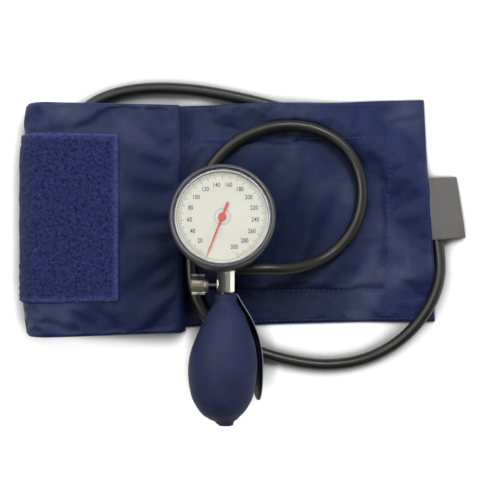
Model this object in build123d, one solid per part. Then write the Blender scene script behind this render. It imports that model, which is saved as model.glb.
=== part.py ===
from build123d import *
import os
from math import asin, atan2, cos, degrees, pi, radians, sin, tan

os.makedirs("parts", exist_ok=True)

# Aneroid blood pressure gauge with bulb, hose and folded arm cuff, in millimetres
# The object lies on a table at z = 0, +X runs along the cuff, +Y away from the bulb

# Driving dimensions of the gauge
DIAL_CENTRE = (-13.1, 27.2, 46.0)
GAUGE_TILT = 10.0
DIAL_R = 29.0
DIAL_T = 0.6
RIM_WALL = 2.5
RIM_DEPTH = 12.0
RIM_RISE = 2.0
REAR_R = 27.2
REAR_TAPER = 3.6
CASE_DEPTH = 29.0
CASE_WALL = 1.7
RING_WALL = 1.2
RING_SKIRT = 3.0
LENS_T = 1.0
GASKET_T = 0.3
RING_LIP = 0.4
RING_MOUTH_R = 30.2
SPACER_T = 0.6
POINTER_Z = 0.6
POINTER_T = 0.35
POINTER_L = 25.2
POINTER_TAIL_L = 9.4
HEAD_L = 6.2
HEAD_TIP_L = 3.6
HEAD_SLOT_L = 4.0
HUB_R = 2.4
HUB_T = 0.8
HUB_BORE_L = 0.4
FIT = 0.05

# Driving dimensions of the movement behind the dial
GEAR_MODULE = 0.45
PINION_TEETH = 10
SECTOR_TEETH = 80
SECTOR_CUT_TEETH = 12
POINTER_SWEEP = 318.0
POINTER_ZERO = -159.0
ROCKER_X = 4.0
ROCKER_Z = -14.0
ROCKER_SHAFT_R = 0.6
LIFT_ARM = 4.0
PUSH_ARM = 5.2
TAIL_ARM = 3.4
ARM_T = 0.8
PIN_R = 0.4
CAPSULE_TRAVEL = 1.8
CAPSULE_R = 13.0
CAPSULE_BASE_Z = -24.2
CAPSULE_H = 4.0
SHEET_T = 0.3
PLATE_T = 1.0
BACK_PLATE_Z = -11.5
FRONT_PLATE_Z = -3.2
ARBOR_R = 0.5
SPRING_TURNS = 3
SPRING_R = 1.1
SPRING_PITCH = 1.1
SPRING_T = 0.14
SPRING_Z = -4.6
PILLARS = ((-6.5, 7.0), (8.0, 6.0), (13.0, -20.0))
PLATE_SCREW_ANGLES = (35.0, 155.0, 238.0)
PLATE_SCREW_R = 0.6

# Driving dimensions of the valve and its knob
UNIT_X = -11.3
UNIT_Z = 27.5
SHOULDER_Y = -19.8
VALVE_FLATS = 11.0
VALVE_L = 18.4
VALVE_BORE_R = 1.2
STUD_R = 3.0
STUD_L = 6.4
BARB_R = 4.0
BARB_L = 11.0
CHAMBER_R = 2.3
NIPPLE_BACK = 14.6
NIPPLE_FACE = 6.5
NIPPLE_L = 9.5
KNOB_BACK = 4.6
KNOB_R = 6.6
KNOB_L = 9.1
KNOB_RIB_COUNT = 30
KNOB_RIB_DEPTH = 0.45
KNOB_GAP = 5.4
COLLAR_L = 1.8
SPINDLE_R = 1.45
BALL_R = 1.5
VENT_Z = -11.6
VENT_DEPTH = 1.4
BALL_LIFT = 1.0
INLET_CAGE_T = 1.0

# Driving dimensions of the bulb and the finger lever
SPOON_RING_T = 1.2
BULB_NECK_R = 6.3
BULB_BELLY_R = 21.6
BULB_L = 82.0
BULB_WALL = 2.4
BULB_PROFILE = ((0.067, 0.29), (0.16, 0.505), (0.252, 0.683), (0.346, 0.824), (0.439, 0.94), (0.532, 0.995),
                (0.624, 0.982), (0.721, 0.912), (0.813, 0.796), (0.907, 0.57), (0.963, 0.363))
INLET_R = 4.0
SPOON_REACH = 25.6
SPOON_W = 12.0
SPOON_L = 69.0
SPOON_T = 1.1
SPOON_ANGLE = -35.0

# Driving dimensions of the hose
HOSE_R = 3.75
HOSE_BORE_R = 2.0

# Driving dimensions of the cuff
CUFF_W = 144.0
CUFF_TOP_Y = 98.6
CUFF_SKEW = 1.5
FLAT_SHIFT_Y = 1.2
FLAT_L = 164.7
FLAT_FLARE = 2.6
PLY_T = 0.8
LAYER_T = 3.6
LAYER_GAP = 0.2
ROLL_RIGHT_X = -43.0
ROLL_LEFT_X = -127.7
FOLD_R = 12.7
ROLL_SLOPE = 8.3
INNER_FOLD_X = -118.0
LOOP_T = 1.0
LOOP_W = 105.0
LOOP_TOP_Y = 79.6
LOOP_RIGHT_X = 96.0
LOOP_TOP_L = 46.0
HOOK_T = 1.2
HOOK_L = 50.0
PAD_T = 4.0
BLADDER_T = 2.0
BLADDER_L = 198.0
BLADDER_W = 94.0
BLADDER_LEFT_X = -126.4
BLADDER_TOP_Y = 76.0
BLADDER_END_SEAM = 12.0
BLADDER_SIDE_SEAM = 20.0
BLADDER_SPACE_T = 0.5
POCKET_GAP = 0.2
LABEL_RIGHT_X = 143.2
LABEL_TOP_Y = 54.0
LABEL_BOTTOM_Y = 14.0
LABEL_T = 1.0

# Places worked out from the driving dimensions
GAUGE = Location(DIAL_CENTRE, (-GAUGE_TILT, 0, 0))
VALVE = Location((UNIT_X, SHOULDER_Y, UNIT_Z), (90, 0, 0))
RIM_R = DIAL_R + 0.1 + RIM_WALL
LEDGE_R = DIAL_R - DIAL_T
REAR_Z = -CASE_DEPTH
FLOOR_Z = REAR_Z + CASE_WALL
SECTOR_R = GEAR_MODULE * SECTOR_TEETH / 2
PINION_R = GEAR_MODULE * PINION_TEETH / 2
SECTOR_SWEEP = POINTER_SWEEP * PINION_TEETH / SECTOR_TEETH
ROCKER_SWEEP = 2 * degrees(asin(CAPSULE_TRAVEL / 2 / LIFT_ARM))
PIVOT_X = ROCKER_X + ARM_T / 2 + PIN_R + 0.15
PIVOT_Y = -((SECTOR_R + PINION_R) ** 2 - PIVOT_X ** 2) ** 0.5
TAIL_Y = PIVOT_Y - TAIL_ARM
PLATE_FRONT = BACK_PLATE_Z + PLATE_T
SECTOR_Z = -7.4
BASE_Z = LOOP_T
FLAT_TOP = BASE_Z + PAD_T
TUNNEL_R = HOSE_R + LOOP_T + 0.5
VALVE_CORNER_R = VALVE_FLATS / 3 ** 0.5
KNOB_X = -VALVE_FLATS / 2 - KNOB_GAP - COLLAR_L
SEAT_BACK = BARB_L - 2.6
INLET_BALL_BACK = 1.7 + BALL_R * 0.78

nodes = {}


# Small helpers for round, boxed and swept shapes
def disc(radius, low, high, x=0.0, y=0.0):
    """Cylinder along Z from low to high."""
    return Pos(x, y, (low + high) / 2) * Cylinder(radius, high - low)


def bar_x(radius, x0, x1, y=0.0, z=0.0):
    """Cylinder along X from x0 to x1."""
    return Pos((x0 + x1) / 2, y, z) * Rot(0, 90, 0) * Cylinder(radius, x1 - x0)


def block(x0, x1, y0, y1, z0, z1):
    """Box between two corners."""
    return Pos((x0 + x1) / 2, (y0 + y1) / 2, (z0 + z1) / 2) * Box(x1 - x0, y1 - y0, z1 - z0)


def turned(points):
    """Solid of revolution about Z of a closed outline in radius and height."""
    return revolve(make_face(Plane.XZ * Polyline(*points, close=True)), Axis.Z)


def ring(inner, outer, low, high):
    """Plain ring about Z."""
    return disc(outer, low, high) - disc(inner, low - 1, high + 1)


def tube_path(points, radii):
    """Straight runs joined by tangent arcs."""
    return FilletPolyline(*points, radius=radii)


def tube(points, radii, outer, inner=0.0):
    """Round tube or rod swept along a path."""
    path = tube_path(points, radii)
    start = Plane(origin=path @ 0, z_dir=path % 0)
    section = Circle(outer) - Circle(inner) if inner else Circle(outer)
    return sweep(start * section, path=path)


def arc_radii(points):
    """Each corner's radius: 0.45 of its shorter run over the tangent of half the turn."""
    radii = []
    for before, corner, after in zip(points, points[1:], points[2:]):
        run_in, run_out = Vector(*corner) - Vector(*before), Vector(*after) - Vector(*corner)
        half_turn = radians(run_in.get_angle(run_out) / 2)
        radii.append(0.45 * min(run_in.length, run_out.length) / tan(half_turn))
    return radii


# Gauge housing: case, dial, lens and front ring, all in the dial's own frame
def gauge_case():
    """Deep round case with a rim, a ledge for the movement and a boss for the valve."""
    shoulder = -RIM_DEPTH - 2.5
    side_r = RIM_R + RING_WALL - 0.2
    outer = turned([
        (0, REAR_Z), (REAR_R - REAR_TAPER - 1.5, REAR_Z), (REAR_R - REAR_TAPER, REAR_Z + 1.5),
        (REAR_R, shoulder), (side_r - 0.8, -RIM_DEPTH), (side_r, -RIM_DEPTH + 0.8),
        (side_r, -RING_SKIRT - FIT), (RIM_R, -RING_SKIRT - FIT), (RIM_R, RIM_RISE), (0, RIM_RISE)])
    inner = turned([
        (0, FLOOR_Z), (REAR_R - REAR_TAPER - CASE_WALL, FLOOR_Z), (REAR_R - CASE_WALL, shoulder),
        (REAR_R - CASE_WALL, BACK_PLATE_Z), (LEDGE_R, BACK_PLATE_Z), (LEDGE_R, -DIAL_T),
        (DIAL_R + 0.1, -DIAL_T), (DIAL_R + 0.1, RIM_RISE + 1), (0, RIM_RISE + 1)])
    boss = VALVE * disc(STUD_R + 3.4, -VALVE_L - 5.0, -VALVE_L)
    spot_face = VALVE * disc(STUD_R + 2.4, -VALVE_L - 14.0, -VALVE_L - 2.6)
    stud_hole = VALVE * disc(STUD_R + FIT, -VALVE_L - 8.0, -VALVE_L + 1.0)
    screw_hole = GAUGE * disc(1.0 + FIT, REAR_Z - 1, FLOOR_Z + 1)
    screw_sink = GAUGE * disc(2.2, REAR_Z - 1, REAR_Z + 0.6)
    outer_face = VALVE * disc(VALVE_CORNER_R + 0.5, -VALVE_L, 0)
    case = GAUGE * outer + boss - GAUGE * inner
    case -= spot_face + outer_face + stud_hole
    case -= screw_hole + screw_sink
    for place in plate_screw_places():
        case -= GAUGE * place * disc(PLATE_SCREW_R + FIT, -4.2, 0)
    return case


def bezel_ring():
    """Soft front ring that grips the rim and holds the lens down."""
    outer = RIM_R + RING_WALL
    lip = RIM_RISE + LENS_T + GASKET_T
    top = lip + RING_LIP
    return turned([
        (RIM_R + FIT, -RING_SKIRT), (outer, -RING_SKIRT), (outer, top - 1.3), (outer - 0.4, top - 0.4),
        (outer - 1.3, top), (RING_MOUTH_R + 0.4, top), (RING_MOUTH_R, lip + RING_LIP / 2),
        (RING_MOUTH_R, lip), (RIM_R + FIT, lip)])


def crystal():
    """Clear lens, slightly domed on top, lying on the rim."""
    edge = RIM_R - 0.2
    dome = 0.45
    profile = Plane.XZ * make_face(
        Polyline((edge, RIM_RISE + LENS_T), (edge, RIM_RISE), (0, RIM_RISE), (0, RIM_RISE + LENS_T + dome),
                 (RING_MOUTH_R - 1.5, RIM_RISE + LENS_T), (edge, RIM_RISE + LENS_T)))
    return revolve(profile, Axis.Z)


def dial_plate():
    """Round dial with a hole for the pointer's arbor."""
    return ring(1.5, DIAL_R, -DIAL_T, 0)


def pointer():
    """Blade with a thick tail, a round hub with a blind bore and a hollow spearhead."""
    neck, widest, slot_half = POINTER_L - HEAD_L, POINTER_L - HEAD_TIP_L, HEAD_SLOT_L / 2
    blade = Polyline((-0.95, POINTER_TAIL_L), (0.95, POINTER_TAIL_L), (0.75, 0.0), (0.3, -neck),
                     (0.8, -widest), (0.0, -POINTER_L), (-0.8, -widest), (-0.3, -neck), (-0.75, 0.0),
                     close=True)
    slot = Polyline((0.0, slot_half - widest), (0.4, -widest), (0.0, -widest - slot_half), (-0.4, -widest),
                    close=True)
    flat = extrude(make_face(blade) - make_face(slot), POINTER_T)
    hub = disc(HUB_R, 0, HUB_T) + flat - disc(ARBOR_R, -1, HUB_BORE_L)
    return Pos(0, 0, POINTER_Z) * Rot(0, 0, 180 - POINTER_ZERO) * hub


# Movement: plates, pinion, toothed sector, rocking shaft and pressure capsule
def toothed(teeth, first, count, root_circle):
    """Corner points of trapezoid teeth, thinned for backlash, from tooth number first."""
    pitch_r = GEAR_MODULE * teeth / 2
    tip, root = pitch_r + 0.75 * GEAR_MODULE, pitch_r - 1.1 * GEAR_MODULE
    half = degrees((GEAR_MODULE * pi / 4 - 0.09) / pitch_r)
    wide, narrow = half + degrees(0.36 * GEAR_MODULE / root_circle), half - degrees(0.27 * GEAR_MODULE / tip)
    points = []
    for k in range(first, first + count):
        middle = 360.0 * k / teeth
        for radius, offset in ((root, -wide), (tip, -narrow), (tip, narrow), (root, wide)):
            angle = radians(middle + offset)
            points.append((radius * cos(angle), radius * sin(angle)))
    return points


def pinion_arbor():
    """Arbor with its ten-tooth pinion; a tooth gap faces the sector at mid sweep."""
    outline = toothed(PINION_TEETH, 0, PINION_TEETH, PINION_R)
    wheel = extrude(make_face(Polyline(*outline, close=True)), 2.6)
    to_pivot = degrees(atan2(PIVOT_Y, PIVOT_X))
    turn = to_pivot + 180.0 / PINION_TEETH + POINTER_SWEEP / 2
    arbor = disc(ARBOR_R, BACK_PLATE_Z - 0.6, POINTER_Z + HUB_BORE_L)
    return arbor + Pos(0, 0, SECTOR_Z - 0.9) * Rot(0, 0, turn) * wheel


def sector_gear():
    """Toothed sector on its own arbor, with a tail pin that the rocking shaft pushes."""
    half = SECTOR_CUT_TEETH // 2
    teeth = toothed(SECTOR_TEETH, -half, SECTOR_CUT_TEETH + 1, SECTOR_R)
    inner = SECTOR_R - 3.2
    edge = radians(360.0 * (half + 0.5) / SECTOR_TEETH)
    root = SECTOR_R - 1.1 * GEAR_MODULE
    rim = Polyline(*teeth, (root * cos(edge), root * sin(edge)), (inner * cos(edge), inner * sin(edge)),
                   (2.0, 1.6), (2.0, -1.6), (inner * cos(edge), -inner * sin(edge)),
                   (root * cos(edge), -root * sin(edge)), close=True)
    window = Polyline((6.0, 1.7), (inner, 5.2), (inner, -5.2), (6.0, -1.7), close=True)
    plate = extrude(make_face(rim) - make_face(window), ARM_T)
    tail = block(-TAIL_ARM - 0.8, 0, -0.9, 0.9, 0, ARM_T) + disc(2.3, 0, ARM_T)
    pin = disc(PIN_R, -2.2, 0.1, -TAIL_ARM)
    arbor = disc(ARBOR_R, BACK_PLATE_Z - 0.6 - SECTOR_Z, FRONT_PLATE_Z + PLATE_T + 0.4 - SECTOR_Z)
    to_pinion = degrees(atan2(-PIVOT_Y, -PIVOT_X))
    turn = Rot(0, 0, to_pinion - SECTOR_SWEEP / 2)
    return Pos(PIVOT_X, PIVOT_Y, SECTOR_Z) * turn * (plate + tail + pin + arbor)


def rocking_shaft():
    """Shaft along Y with a lifting arm over the capsule and a pushing arm at the tail pin."""
    shaft = Rot(90, 0, 0) * Cylinder(ROCKER_SHAFT_R, -TAIL_Y + 5.0)
    shaft = Pos(0, TAIL_Y / 2 + 1.5, 0) * shaft
    lift = block(-LIFT_ARM - 0.8, 0, -0.9, 0.9, -ARM_T / 2, ARM_T / 2)
    push = block(-ARM_T / 2, ARM_T / 2, TAIL_Y - 0.8, TAIL_Y + 0.9, 0, PUSH_ARM + 1.0)
    return Pos(ROCKER_X, 0, ROCKER_Z) * Rot(0, -ROCKER_SWEEP / 2, 0) * (shaft + lift + push)


def back_plate():
    """Round plate on the case's ledge, with two lugs that carry the rocking shaft."""
    plate = disc(LEDGE_R - 0.1, BACK_PLATE_Z, PLATE_FRONT)
    for y in (2.2, TAIL_Y + 1.6):
        lug = block(ROCKER_X - 1.6, ROCKER_X + 1.6, y, y + 1.0, ROCKER_Z - 1.5, BACK_PLATE_Z)
        bore = Pos(ROCKER_X, y + 0.5, ROCKER_Z) * Rot(90, 0, 0) * Cylinder(ROCKER_SHAFT_R + FIT, 3)
        plate += lug - bore
    under, over = BACK_PLATE_Z - 1, PLATE_FRONT + 1
    plate -= block(ROCKER_X - 2.6, ROCKER_X + 2.6, TAIL_Y - 1.4, TAIL_Y + 1.5, under, over)
    plate -= disc(ARBOR_R + FIT, under, over)
    plate -= disc(ARBOR_R + FIT, under, over, PIVOT_X, PIVOT_Y)
    for place in plate_screw_places():
        plate -= place * disc(PLATE_SCREW_R + FIT, -PLATE_T - 1, 1)
    return plate


def front_plate():
    """Bridge over the gears, standing on three pillars."""
    pads = [Pos(x, y) * Circle(2.6) for x, y in PILLARS + ((0.0, 0.0), (PIVOT_X, PIVOT_Y))]
    bridge = extrude(make_hull([edge for pad in pads for edge in pad.edges()]), PLATE_T)
    bridge = Pos(0, 0, FRONT_PLATE_Z) * bridge
    for x, y in ((0.0, 0.0), (PIVOT_X, PIVOT_Y)):
        bridge -= disc(ARBOR_R + FIT, FRONT_PLATE_Z - 1, FRONT_PLATE_Z + 2, x, y)
    for x, y in PILLARS:
        bridge -= disc(PLATE_SCREW_R + FIT, FRONT_PLATE_Z - 1, FRONT_PLATE_Z + 2, x, y)
    return bridge


def pillars():
    """Three posts between the two plates, with holes for the bridge screws."""
    posts = []
    for x, y in PILLARS:
        post = disc(1.5, PLATE_FRONT, FRONT_PLATE_Z, x, y)
        posts.append(post - disc(PLATE_SCREW_R + FIT, FRONT_PLATE_Z - 3.2, FRONT_PLATE_Z + 1, x, y))
    return Compound(posts)


def screw(head_r, head_t, shank_r, shank_l):
    """Slotted cheese-head screw: head above z = 0, shank below."""
    slot = block(-head_r - 1, head_r + 1, -0.2, 0.2, head_t * 0.45, head_t + 1)
    return disc(head_r, 0, head_t) - slot + disc(shank_r, -shank_l, 0.01)


def plate_screw_places():
    """Frames of the three screw heads, on the front of the back plate."""
    return [Rot(0, 0, angle) * Pos(LEDGE_R - 1.4, 0, PLATE_FRONT) for angle in PLATE_SCREW_ANGLES]


def plate_screws():
    """Three screws from the back plate into the case's ledge."""
    one = screw(1.1, 0.7, PLATE_SCREW_R, 3.6)
    return Compound([place * one for place in plate_screw_places()])


def bridge_screws():
    """Three screws from the bridge into the pillars."""
    one = screw(1.1, 0.7, PLATE_SCREW_R, 3.6)
    return Compound([Pos(x, y, FRONT_PLATE_Z + PLATE_T) * one for x, y in PILLARS])


def spiral(start_r, steps=20):
    """Points of a flat spiral, steps to a turn."""
    rows = []
    for k in range(SPRING_TURNS * steps + 1):
        angle = 2 * pi * k / steps
        radius = start_r + SPRING_PITCH * k / steps
        rows.append((radius * cos(angle), radius * sin(angle)))
    return rows


def hairspring():
    """Flat spiral strip from a collet near the arbor out to a stud under the bridge."""
    face = make_face(Polyline(*spiral(SPRING_R), *reversed(spiral(SPRING_R + SPRING_T)), close=True))
    end_r = SPRING_R + SPRING_PITCH * SPRING_TURNS
    stud = disc(0.5, -0.1, FRONT_PLATE_Z - SPRING_Z, end_r + SPRING_T / 2 + 0.3)
    return Pos(0, 0, SPRING_Z) * (extrude(face, 0.4) + stud)


def diaphragm(flip):
    """Corrugated round sheet; flip turns it into the capsule's lower half."""
    half = CAPSULE_H / 2
    crests = [(0.0, half), (3.0, half), (4.5, half - 0.7), (6.0, half - 0.1), (7.5, half - 0.8),
              (9.0, half - 0.2), (10.5, half - 1.1), (CAPSULE_R - 0.8, 0.0), (CAPSULE_R, 0.0)]
    lower = [(r, z + SHEET_T) for r, z in reversed(crests)]
    sheet = turned(crests + lower)
    return Pos(0, 0, CAPSULE_BASE_Z + half) * (mirror(sheet, Plane.XY) if flip else sheet)


def capsule_pin():
    """Button on the upper sheet with the pin that lifts the rocking shaft."""
    base = CAPSULE_BASE_Z + CAPSULE_H + SHEET_T
    top = ROCKER_Z - LIFT_ARM * sin(radians(ROCKER_SWEEP / 2)) - ARM_T / 2 - 0.15
    return disc(2.6, base, base + 0.8) + disc(0.8, base, top)


def inlet_route():
    """Route of the brass tube from the valve stud to the stem, in the dial's frame."""
    nose = SHOULDER_Y + VALVE_L + STUD_L
    straight = [GAUGE.inverse() * Pos(UNIT_X, y, UNIT_Z) for y in (nose - 2.0, nose + 1.2)]
    lowest = FLOOR_Z + 1.4
    return [tuple(place.position) for place in straight] + [(0.9, -14.6, lowest), (0.0, -1.5, lowest)]


def inlet_tube():
    """Thin bent tube that leads air to the capsule."""
    return tube(inlet_route(), [2.0, 2.0], 1.1, 0.6)


def capsule_stem():
    """Brass block under the capsule, screwed to the case's floor."""
    block_solid = disc(3.2, FLOOR_Z, CAPSULE_BASE_Z - SHEET_T)
    bore = disc(1.0, FLOOR_Z - 1, FLOOR_Z + 0.9)
    return block_solid - bore - tube(inlet_route(), [2.0, 2.0], 1.1)


def capsule_screw():
    """Screw that holds the stem from the back of the case."""
    return Pos(0, 0, REAR_Z + 0.6) * Rot(180, 0, 0) * screw(2.0, 0.5, 0.95, CASE_WALL - 0.6 + 0.8)


# Valve: chromed body, bleed knob, needle, ball check valve and hose nipple
def valve_body():
    """Hexagonal body, edge up, with a stud for the gauge, a barb for the bulb and two side ports."""
    hexagon = Rot(0, 0, 30) * RegularPolygon(VALVE_FLATS / 2, 6, major_radius=False)
    body = Pos(0, 0, -VALVE_L) * extrude(hexagon, VALVE_L)
    end_r, side_r = VALVE_FLATS / 2 + 0.2, VALVE_CORNER_R + 0.1
    body &= turned([(0, -VALVE_L), (end_r, -VALVE_L), (side_r, -VALVE_L + 0.5), (side_r, -0.5),
                    (end_r, 0), (0, 0)])
    body -= Pos(0, VALVE_CORNER_R, VENT_Z) * Rot(90, 0, 0) * Cylinder(1.1, 2 * VENT_DEPTH)
    body += disc(STUD_R, -VALVE_L - STUD_L, -VALVE_L + 0.5)
    barb = [(0, -0.5), (BARB_R - 0.35, -0.5)]
    step = (BARB_L - 2.0) / 3
    for k in range(3):
        z = 2.0 + step * k
        barb += [(BARB_R - 0.35, z), (BARB_R, z)]
    body += turned(barb + [(BARB_R - 0.35, BARB_L), (0, BARB_L)])
    body += bar_x(3.0, -5.9, -2.0, z=-KNOB_BACK) + bar_x(3.4, 2.0, NIPPLE_FACE - 0.6, z=-NIPPLE_BACK)
    body -= disc(VALVE_BORE_R, -VALVE_L - STUD_L - 1, 2.0) + disc(CHAMBER_R, 1.0, BARB_L + 1)
    body -= disc(1.1 + FIT, -VALVE_L - STUD_L - 1, -VALVE_L - STUD_L + 2.4)
    body -= bar_x(SPINDLE_R + FIT, -7.0, -2.2, z=-KNOB_BACK) + bar_x(0.8, -3.0, 0, z=-KNOB_BACK)
    body -= bar_x(2.4 + FIT, -4.4, -3.2, z=-KNOB_BACK)
    body -= bar_x(1.9 + FIT, 2.4, 7.0, z=-NIPPLE_BACK) + bar_x(1.0, 0, 3.0, z=-NIPPLE_BACK)
    body -= Pos(-2.9, -3.0, -KNOB_BACK) * Rot(90, 0, 0) * Cylinder(0.6, 6.0)
    return body


def case_nut():
    """Nut inside the case that clamps the valve's stud."""
    low = -VALVE_L - 2.6 - 2.4
    nut = Pos(0, 0, low) * extrude(RegularPolygon(4.4, 6, major_radius=False), 2.4)
    return nut - disc(STUD_R + FIT, low - 1, low + 4)


def release_knob():
    """Knurled knob: two ribbed rows, a groove between them and a plain collar."""
    root = KNOB_R - KNOB_RIB_DEPTH
    points = []
    for k in range(KNOB_RIB_COUNT):
        for part, radius in ((0.0, KNOB_R), (0.4, KNOB_R), (0.55, root), (0.85, root)):
            angle = 2 * pi * (k + part) / KNOB_RIB_COUNT
            points.append((radius * cos(angle), radius * sin(angle)))
    body = extrude(make_face(Polyline(*points, close=True)), KNOB_L)
    edge = 0.6
    body &= turned([(0, 0), (KNOB_R - edge, 0), (KNOB_R, edge), (KNOB_R, KNOB_L - edge),
                    (KNOB_R - edge, KNOB_L), (0, KNOB_L)])
    body -= ring(KNOB_R - 0.9, KNOB_R + 1, KNOB_L * 0.45, KNOB_L * 0.45 + 0.7)
    body += disc(KNOB_R - 1.6, -COLLAR_L, 0.1)
    body -= disc(SPINDLE_R + FIT, -COLLAR_L - 1, KNOB_L - 2.5)
    dish = Pos(0, 0, KNOB_L) * Cone(3.4, 4.4, 1.2)
    return knob_place() * (body - dish)


def knob_place():
    """Frame of the knob: its +Z points away from the valve body."""
    return Pos(KNOB_X, 0, -KNOB_BACK) * Rot(0, -90, 0)


def needle():
    """Threaded spindle in the knob, ending in the cone that closes the bleed hole."""
    rod = bar_x(SPINDLE_R, KNOB_X - KNOB_L + 2.5, -2.9, z=-KNOB_BACK)
    cone = Pos(-2.45, 0, -KNOB_BACK) * Rot(0, 90, 0) * Cone(0.9, 0.2, 0.9)
    neck = Pos(-2.9, 0, -KNOB_BACK) * Rot(0, 90, 0) * Cylinder(0.9, 0.2)
    return rod + cone + neck


def needle_seal():
    """Rubber ring around the needle inside the body."""
    section = ring(SPINDLE_R + FIT, 2.4, -0.5, 0.5)
    return Pos(-3.8, 0, -KNOB_BACK) * Rot(0, 90, 0) * section


def hose_nipple():
    """Stepped spout screwed into the side of the body."""
    end = NIPPLE_FACE + NIPPLE_L
    boss_end = NIPPLE_FACE - 0.6
    steps = [(0.9, 2.6), (1.9, 2.6), (1.9, boss_end), (3.0, boss_end), (3.0, NIPPLE_FACE)]
    for k in range(3):
        z = NIPPLE_FACE + (NIPPLE_L - 0.5) / 3 * k
        steps += [(HOSE_BORE_R - 0.4, z), (HOSE_BORE_R - 0.4, z + 0.8), (HOSE_BORE_R - FIT, z + 0.8)]
    steps += [(HOSE_BORE_R - 0.4, end), (0.9, end)]
    return Pos(0, 0, -NIPPLE_BACK) * Rot(0, 90, 0) * turned(steps)


def ball_seat():
    """Bored plug pressed into the end of the barb."""
    plug = disc(CHAMBER_R - FIT, SEAT_BACK, BARB_L - 0.2)
    return plug - disc(0.9, 0, BARB_L + 1) - Pos(0, 0, SEAT_BACK) * Cone(1.3, 0.9, 0.8)


def check_ball():
    """Ball that rests on the seat and lets air pass towards the gauge."""
    return Pos(0, 0, SEAT_BACK - BALL_R * 0.72) * Sphere(BALL_R)


def check_spring():
    """Light coil behind the ball, from the chamber's floor at z = 1."""
    wire = 0.2
    ball_end = SEAT_BACK - BALL_R * 0.72 - BALL_R
    coil = Helix(pitch=0.75, height=ball_end - 1.65, radius=1.2)
    start = Plane(origin=coil @ 0, z_dir=coil % 0)
    return Pos(0, 0, 1.25) * sweep(start * Circle(wire), path=coil, is_frenet=True)


# Bulb, its inlet valve and the finger lever, along the valve's axis
def bulb_outline(shrink, first=0):
    """Points of the bulb's side, at a depth shrink below its skin."""
    rows = BULB_PROFILE[first:]
    return [(wide * BULB_BELLY_R - shrink, high * BULB_L + SPOON_RING_T) for high, wide in rows]


def bulb():
    """Hollow rubber bulb with a neck over the barb and a bored tail."""
    bottom, top = SPOON_RING_T, BULB_L + SPOON_RING_T
    skin = bulb_outline(0.0)
    tail_r = INLET_R + 1.7
    side = Spline((BULB_NECK_R, bottom + 3.4), *skin[1:], tangents=[(0, 1), (-0.75, 0.66)])
    end = side @ 1
    neck = Polyline((0, top), (tail_r, top), (tail_r, end.Y + 0.8), (end.X, end.Y))
    foot = Polyline((BULB_NECK_R, bottom + 3.4), (BULB_NECK_R, bottom), (0, bottom), (0, top))
    solid = revolve(Plane.XZ * make_face(side.edges() + neck.edges() + foot.edges()), Axis.Z)
    core = bulb_outline(BULB_WALL, 1)
    low, high = core[0][1], core[-1][1] - 1.0
    inside = Spline((BARB_R, low), *core[1:-1], (INLET_R, high))
    cap = Polyline((INLET_R, high), (0, high), (0, low), (BARB_R, low))
    cavity = revolve(Plane.XZ * make_face(inside.edges() + cap.edges()), Axis.Z)
    solid -= cavity + disc(BARB_R + FIT, bottom - 1, low + 0.5)
    return solid - disc(INLET_R + FIT, top - 12, top + 1)


def inlet_body():
    """Metal plug in the bulb's tail, bored for its own ball valve."""
    top = BULB_L + SPOON_RING_T
    shell = disc(INLET_R, top - 8.0, top + 0.1) + disc(INLET_R + 0.9, top, top + 0.9)
    shell -= disc(0.9, top - 9, top + 2) + disc(CHAMBER_R, top - 9.0, top - 1.6)
    return shell - Pos(0, 0, top - 1.4) * Cone(1.3, 0.9, 0.6)


def inlet_ball():
    """Ball that seals the inlet while the bulb is squeezed."""
    return Pos(0, 0, BULB_L + SPOON_RING_T - INLET_BALL_BACK) * Sphere(BALL_R)


def inlet_cage():
    """Ring with a cross bar that stops the ball after its lift."""
    high = BULB_L + SPOON_RING_T - INLET_BALL_BACK - BALL_R - BALL_LIFT
    cage = ring(1.5, CHAMBER_R - FIT, high - INLET_CAGE_T, high + 0.6)
    return cage + block(-1.6, 1.6, -0.35, 0.35, high - INLET_CAGE_T, high)


def spoon():
    """Thin curved lever beside the bulb, on a ring around the barb."""
    lever_z = [SPOON_L * share for share in (0.0145, 0.13, 0.29, 0.464, 0.638, 0.783, 1.0)]
    lever_r = [BULB_NECK_R + 0.6, 11.5, 18.6, 23.6, SPOON_REACH, SPOON_REACH, SPOON_REACH]
    line = Spline(*[(r, z) for r, z in zip(lever_r, lever_z)], tangents=[(0.55, 0.83), (0, 1)])
    strip = Plane.XZ * trace(line, SPOON_T)
    plate = Pos(0, SPOON_W / 2, 0) * extrude(strip, SPOON_W)
    plan = Plane.YZ * make_face(
        Polyline((-3.4, 0), (3.4, 0), (SPOON_W / 2, 16.0), (SPOON_W / 2, SPOON_L - 6.0), (3.0, SPOON_L),
                 (-3.0, SPOON_L), (-SPOON_W / 2, SPOON_L - 6.0), (-SPOON_W / 2, 16.0), close=True))
    plate &= extrude(plan, SPOON_REACH + 5)
    low, high = 0.1, SPOON_RING_T - 0.1
    eye = disc(BULB_NECK_R + 0.6, low, high) + block(0, BULB_NECK_R + 1.1, -3.4, 3.4, low, high)
    lever = eye + plate - disc(BARB_R + FIT, -1, 3) - disc(BULB_NECK_R + 0.3, high, 12)
    return Rot(0, 0, SPOON_ANGLE) * lever


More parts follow.
